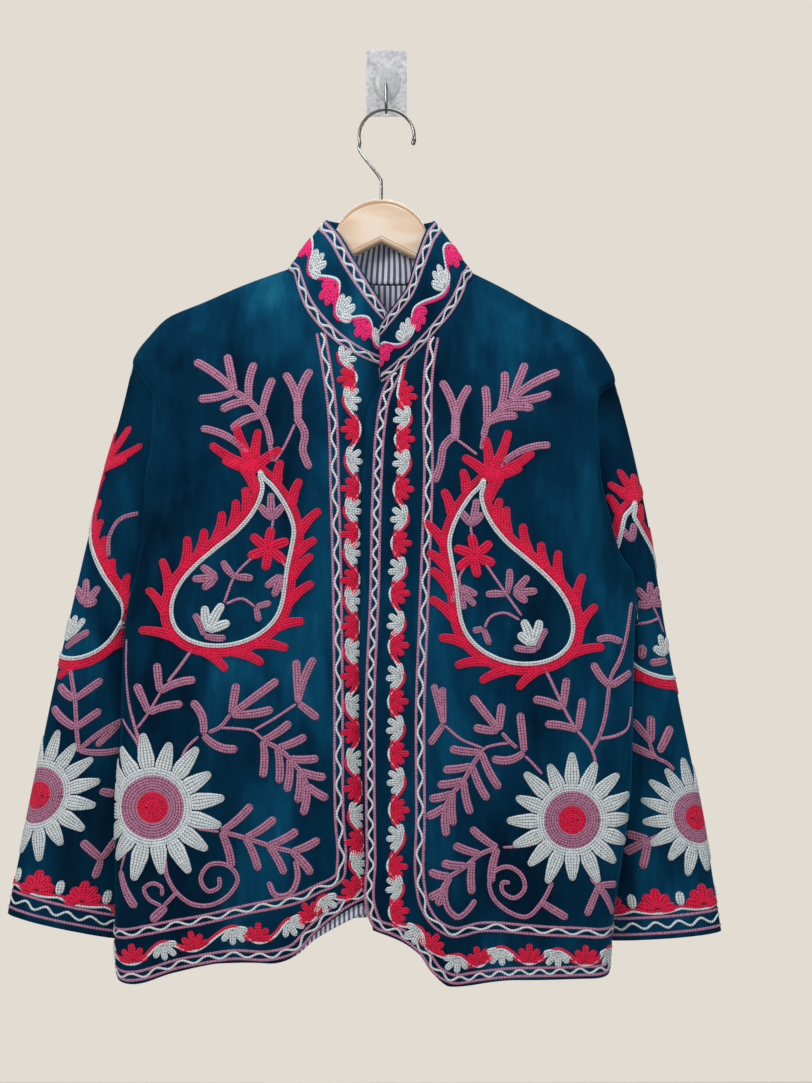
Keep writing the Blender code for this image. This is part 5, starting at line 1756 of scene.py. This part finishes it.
def hanger_outline(side):
    """Upper and lower drops of half of the hanger from its middle to its round tip."""
    tip = side.ridge_reach[-1] - WOOD_TIP_IN
    reach = np.linspace(0, tip, 120)
    top, foot = wood_top(side, reach), wood_foot(side, reach)
    radius, middle = (foot[-1] - top[-1]) / 2, (foot[-1] + top[-1]) / 2
    slope = (middle - (foot[-8] + top[-8]) / 2) / (reach[-1] - reach[-8])
    angles = np.radians(np.linspace(8, 84, 9))
    out = radius * np.sin(angles)
    reach = np.concatenate([reach, tip + out])
    top = np.concatenate([top, middle + slope * out - radius * np.cos(angles)])
    foot = np.concatenate([foot, middle + slope * out + radius * np.cos(angles)])
    return side.x(reach), top, foot


def wood_profile(half):
    """Points (y, down from the middle, distance in from the edge) round one section of the wood."""
    deep, corner = WOOD_THICK / 2, min(WOOD_EDGE, half * 0.9)
    arc = np.radians(np.linspace(90, 0, 6))
    points = [(deep - corner + corner * math.cos(a), -(half - corner) - corner * math.sin(a)) for a in arc]
    for inward in (0.9, 1.0, 1.1, 1.4):
        groove = WOOD_GROOVE if inward == 1.0 else 0.0
        points.append((deep - groove, -max(half - RIM_IN * inward, half * 0.05)))
    points = [(-y, z) for y, z in points] + [(-y, -z) for y, z in points[::-1]]
    points += [(-y, -z) for y, z in points]
    return [(y, z, half - abs(z)) for y, z in points]


def hanger_wood(finish):
    (right_x, right_top, right_foot), (left_x, left_top, left_foot) = hanger_outline(RIGHT), hanger_outline(LEFT)
    x = np.concatenate([right_x[:0:-1], left_x])
    top = np.concatenate([right_top[:0:-1], left_top])
    foot = np.concatenate([right_foot[:0:-1], left_foot])
    verts, rims = [], []
    for at, high, low in zip(x, top, foot):
        for y, z, inward in wood_profile((low - high) / 2):
            verts.append((at, RIDGE_Y + y, -((high + low) / 2 + z)))
            rims.append((at / MM, inward / MM))
    ring = len(verts) // len(x)
    faces = []
    for i in range(len(x) - 1):
        for j in range(ring):
            k = (j + 1) % ring
            faces.append((i * ring + j, (i + 1) * ring + j, (i + 1) * ring + k, i * ring + k))
    faces += [tuple(range(ring)), tuple(range((len(x) - 1) * ring, len(x) * ring))[::-1]]
    mesh = bpy.data.meshes.new("varnished_hanger")
    mesh.from_pydata(verts, [], faces)
    layer = mesh.uv_layers.new(name="rim")
    layer.data.foreach_set("uv", [value for face in faces for corner in face for value in rims[corner]])
    mesh.materials.append(finish)
    mesh.update()
    mesh.shade_smooth()
    made = bpy.data.objects.new("varnished_hanger", mesh)
    bpy.context.scene.collection.objects.link(made)
    return made


def hanger_hook(finish):
    angles = np.radians(np.linspace(RING_START, RING_END, 26))
    flat = list(zip(RING_X + RING_RADIUS * np.cos(angles), RING_DROP - RING_RADIUS * np.sin(angles)))
    flat += HOOK_BENDS + [(MIDDLE_X, WOOD_TOP_DROP + 0.0010)]
    points = smooth_line([(x, lean_y(drop), -drop) for x, drop in flat], 0.0015)
    return wire("bent_hook", points, RING_WIRE, finish, tip=1.45)


def wall_plate(finish):
    width, thick, height = PLATE
    mesh = bpy.data.meshes.new("clear_plate")
    shape = bmesh.new()
    bmesh.ops.create_grid(shape, x_segments=12, y_segments=20, size=0.5)
    for vert in shape.verts:
        x, z = vert.co.x * width, vert.co.y * height
        ripple = 0.00012 * math.sin(x * 700.0 + 1.3) * math.sin(z * 520.0)
        vert.co = (x, -thick + 0.00016 + ripple, z)
    shape.to_mesh(mesh)
    shape.free()
    mesh.materials.append(finish)
    mesh.shade_smooth()
    made = bpy.data.objects.new("clear_plate", mesh)
    bpy.context.scene.collection.objects.link(made)
    body = made.modifiers.new("thickness", "SOLIDIFY")
    body.thickness = thick - 0.0002
    body.offset = 1.0
    rim = made.modifiers.new("soft_edges", "BEVEL")
    rim.width = 0.0003
    rim.segments = 2
    rim.limit_method = "ANGLE"
    return made


def wall_boss(finish):
    """A low oval dome with a raised rim, turned and stretched upwards."""
    width, high, tall = BOSS
    steps = np.linspace(0, math.pi / 2, 14)
    profile = [(width / 2 * math.cos(a) ** 0.9, high * (0.35 + 0.65 * math.sin(a))) for a in steps]
    profile = [(width / 2, 0.0)] + profile[:-1] + [(0.0, high)]
    mesh = bpy.data.meshes.new("clear_boss")
    points = [(0.0, 0.0, 0.0)] + [(r, 0.0, h) for r, h in profile]
    mesh.from_pydata(points, [(i, i + 1) for i in range(len(points) - 1)], [])
    mesh.materials.append(finish)
    made = bpy.data.objects.new("clear_boss", mesh)
    turn = made.modifiers.new("turn", "SCREW")
    turn.axis = "Z"
    turn.steps = 64
    turn.render_steps = 64
    turn.use_merge_vertices = True
    turn.merge_threshold = 0.00003
    turn.use_normal_calculate = True
    made.rotation_euler = (math.pi / 2, 0.0, 0.0)
    made.scale = (1.0, tall / width, 1.0)
    made.location = (0.0, -PLATE[1] - PIECE_GAP, 0.0)
    bpy.context.scene.collection.objects.link(made)
    return made


def wall_hook(finish):
    seat = RING_DROP - RING_RADIUS + RING_WIRE + PIECE_GAP + PEG_WIRE
    root = -PLATE[1] - PIECE_GAP - BOSS[1] - PIECE_GAP
    bend = abs(RING_Y - root) - PEG_WIRE
    points = [(0.0, root - PEG_WIRE, -0.006), (0.0, root - PEG_WIRE, -0.012)]
    for degrees in range(0, 181, 20):
        angle = math.radians(degrees)
        points.append((0.0, RING_Y + bend * math.cos(angle), -(seat - bend) - bend * math.sin(angle)))
    points += [(0.0, RING_Y - bend - 0.0004, -0.020), (0.0, RING_Y - bend - 0.0010, -0.0095)]
    return wire("peg_hook", smooth_line(points, 0.0012), PEG_WIRE, finish)


# The studio


def area_light(name, at, aim, size, watts, colour):
    lamp = bpy.data.lights.new(name, "AREA")
    lamp.size = size
    lamp.energy = watts
    lamp.color = colour
    made = bpy.data.objects.new(name, lamp)
    made.location = at
    made.rotation_euler = (Vector(aim) - Vector(at)).to_track_quat("-Z", "Y").to_euler()
    bpy.context.scene.collection.objects.link(made)


def camera():
    lens = bpy.data.cameras.new("camera")
    lens.sensor_fit = "VERTICAL"
    lens.sensor_height = 36.0
    lens.lens = CAMERA_DISTANCE_PX * 36.0 / PHOTO_HEIGHT_PX
    made = bpy.data.objects.new("camera", lens)
    made.location = CAMERA_AT
    made.rotation_euler = (math.pi / 2, 0.0, 0.0)
    bpy.context.scene.collection.objects.link(made)
    bpy.context.scene.camera = made


def studio():
    world = bpy.data.worlds.new("pale_room")
    world.use_nodes = True
    tree = world.node_tree
    seen = tree.nodes.new("ShaderNodeMapRange")
    seen.inputs["To Min"].default_value = AMBIENT
    background = tree.nodes["Background"]
    background.inputs[0].default_value = WORLD_COLOUR
    tree.links.new(tree.nodes.new("ShaderNodeLightPath").outputs["Is Camera Ray"], seen.inputs["Value"])
    tree.links.new(seen.outputs[0], background.inputs[1])
    bpy.context.scene.world = world
    for light in LIGHTS:
        area_light(*light)
    bpy.ops.mesh.primitive_grid_add(x_subdivisions=8, y_subdivisions=8, size=FLOOR_SIZE, location=FLOOR_AT)
    floor = bpy.context.object
    floor.name = "floor"
    floor.data.materials.append(floor_finish())
    bpy.context.scene.view_settings.view_transform = "Standard"


def striped_grid(grid):
    """Stripes counted along the rows of a grid, and mm down its columns."""
    across = np.linalg.norm(np.diff(grid, axis=1), axis=-1).mean(axis=0)
    down = np.linalg.norm(np.diff(grid, axis=0), axis=-1).mean(axis=1)
    along = np.concatenate([[0], np.cumsum(across)]) / STRIPE
    below = np.concatenate([[0], np.cumsum(down)]) / MM
    return np.stack(np.broadcast_arrays(along[None, :], below[:, None]), axis=-1)


def garment(pile, inside, cotton):
    """The shells, each standing for its solid."""
    front, back = (0, -1, 0), (0, 1, 0)
    made = {}
    for side in (RIGHT, LEFT):
        name = f"velvet_{side.name}_front"
        made[f"{side.name}_front"] = sheet_mesh(name, front_grid(side), (pile, inside), front, seams=("top", "end"))
    made["back"] = sheet_mesh("velvet_back", back_grid(), (pile, inside), back, seams=("top", "start", "end"))
    for side in (RIGHT, LEFT):
        name = f"velvet_{side.name}_sleeve"
        inner = (-side.sign, 0, -0.5)
        made[f"{side.name}_sleeve"] = sheet_mesh(name, sleeve_grid(side), (pile, inside), inner, True, seams=("top",))
    made["collar"] = sheet_mesh("velvet_collar", collar_grid(), (pile,), front, wall=COLLAR_WALL)
    for name, grid, outwards in (
        ("collar_lining", collar_lining_grid(), front),
        ("back_lining", back_lining_grid(), back),
        ("hem_lining", hem_lining_grid(), front),
    ):
        stripes = striped_grid(grid)
        made[name] = sheet_mesh(f"cotton_{name}", grid, (cotton,), outwards, wall=LINING, stripes=stripes)
    return made


def declare(shells, stitched):
    """Hangs each shell and its stitching on the root body, and hides the solid that the shell stands for."""
    for node, piece in shells.items():
        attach(piece, "root")
        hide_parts(node)
        embroidery = stitched.get(node, [])
        for thread in embroidery:
            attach(thread, "root")


def main():
    finishes = {name: yarn(f"{name}_yarn", *tones) for name, tones in YARNS.items()}
    steel = polished_steel()
    plate = clear_plastic("plate_plastic", (0.34, 0.36, 0.42), (0.74, 0.76, 0.82), 0.62)
    boss = clear_plastic("boss_plastic", (0.42, 0.44, 0.47), (0.70, 0.72, 0.74), 0.45)
    shells = garment(velvet(), striped("cotton_inside"), striped("striped_cotton", "stripes"))
    hard = {
        "hanger_wood": (hanger_wood(lacquered_wood()), "wood"),
        "hanger_hook": (hanger_hook(steel), "steel"),
        "wall_plate": (wall_plate(plate), "clear_plastic"),
        "wall_boss": (wall_boss(boss), "clear_plastic"),
        "wall_hook": (wall_hook(steel), "steel"),
    }
    for node, (piece, finish) in hard.items():
        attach(piece, "root")
        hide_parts(node)
    stitched = embroider(finishes)
    declare(shells, stitched)
    camera()
    studio()


main()
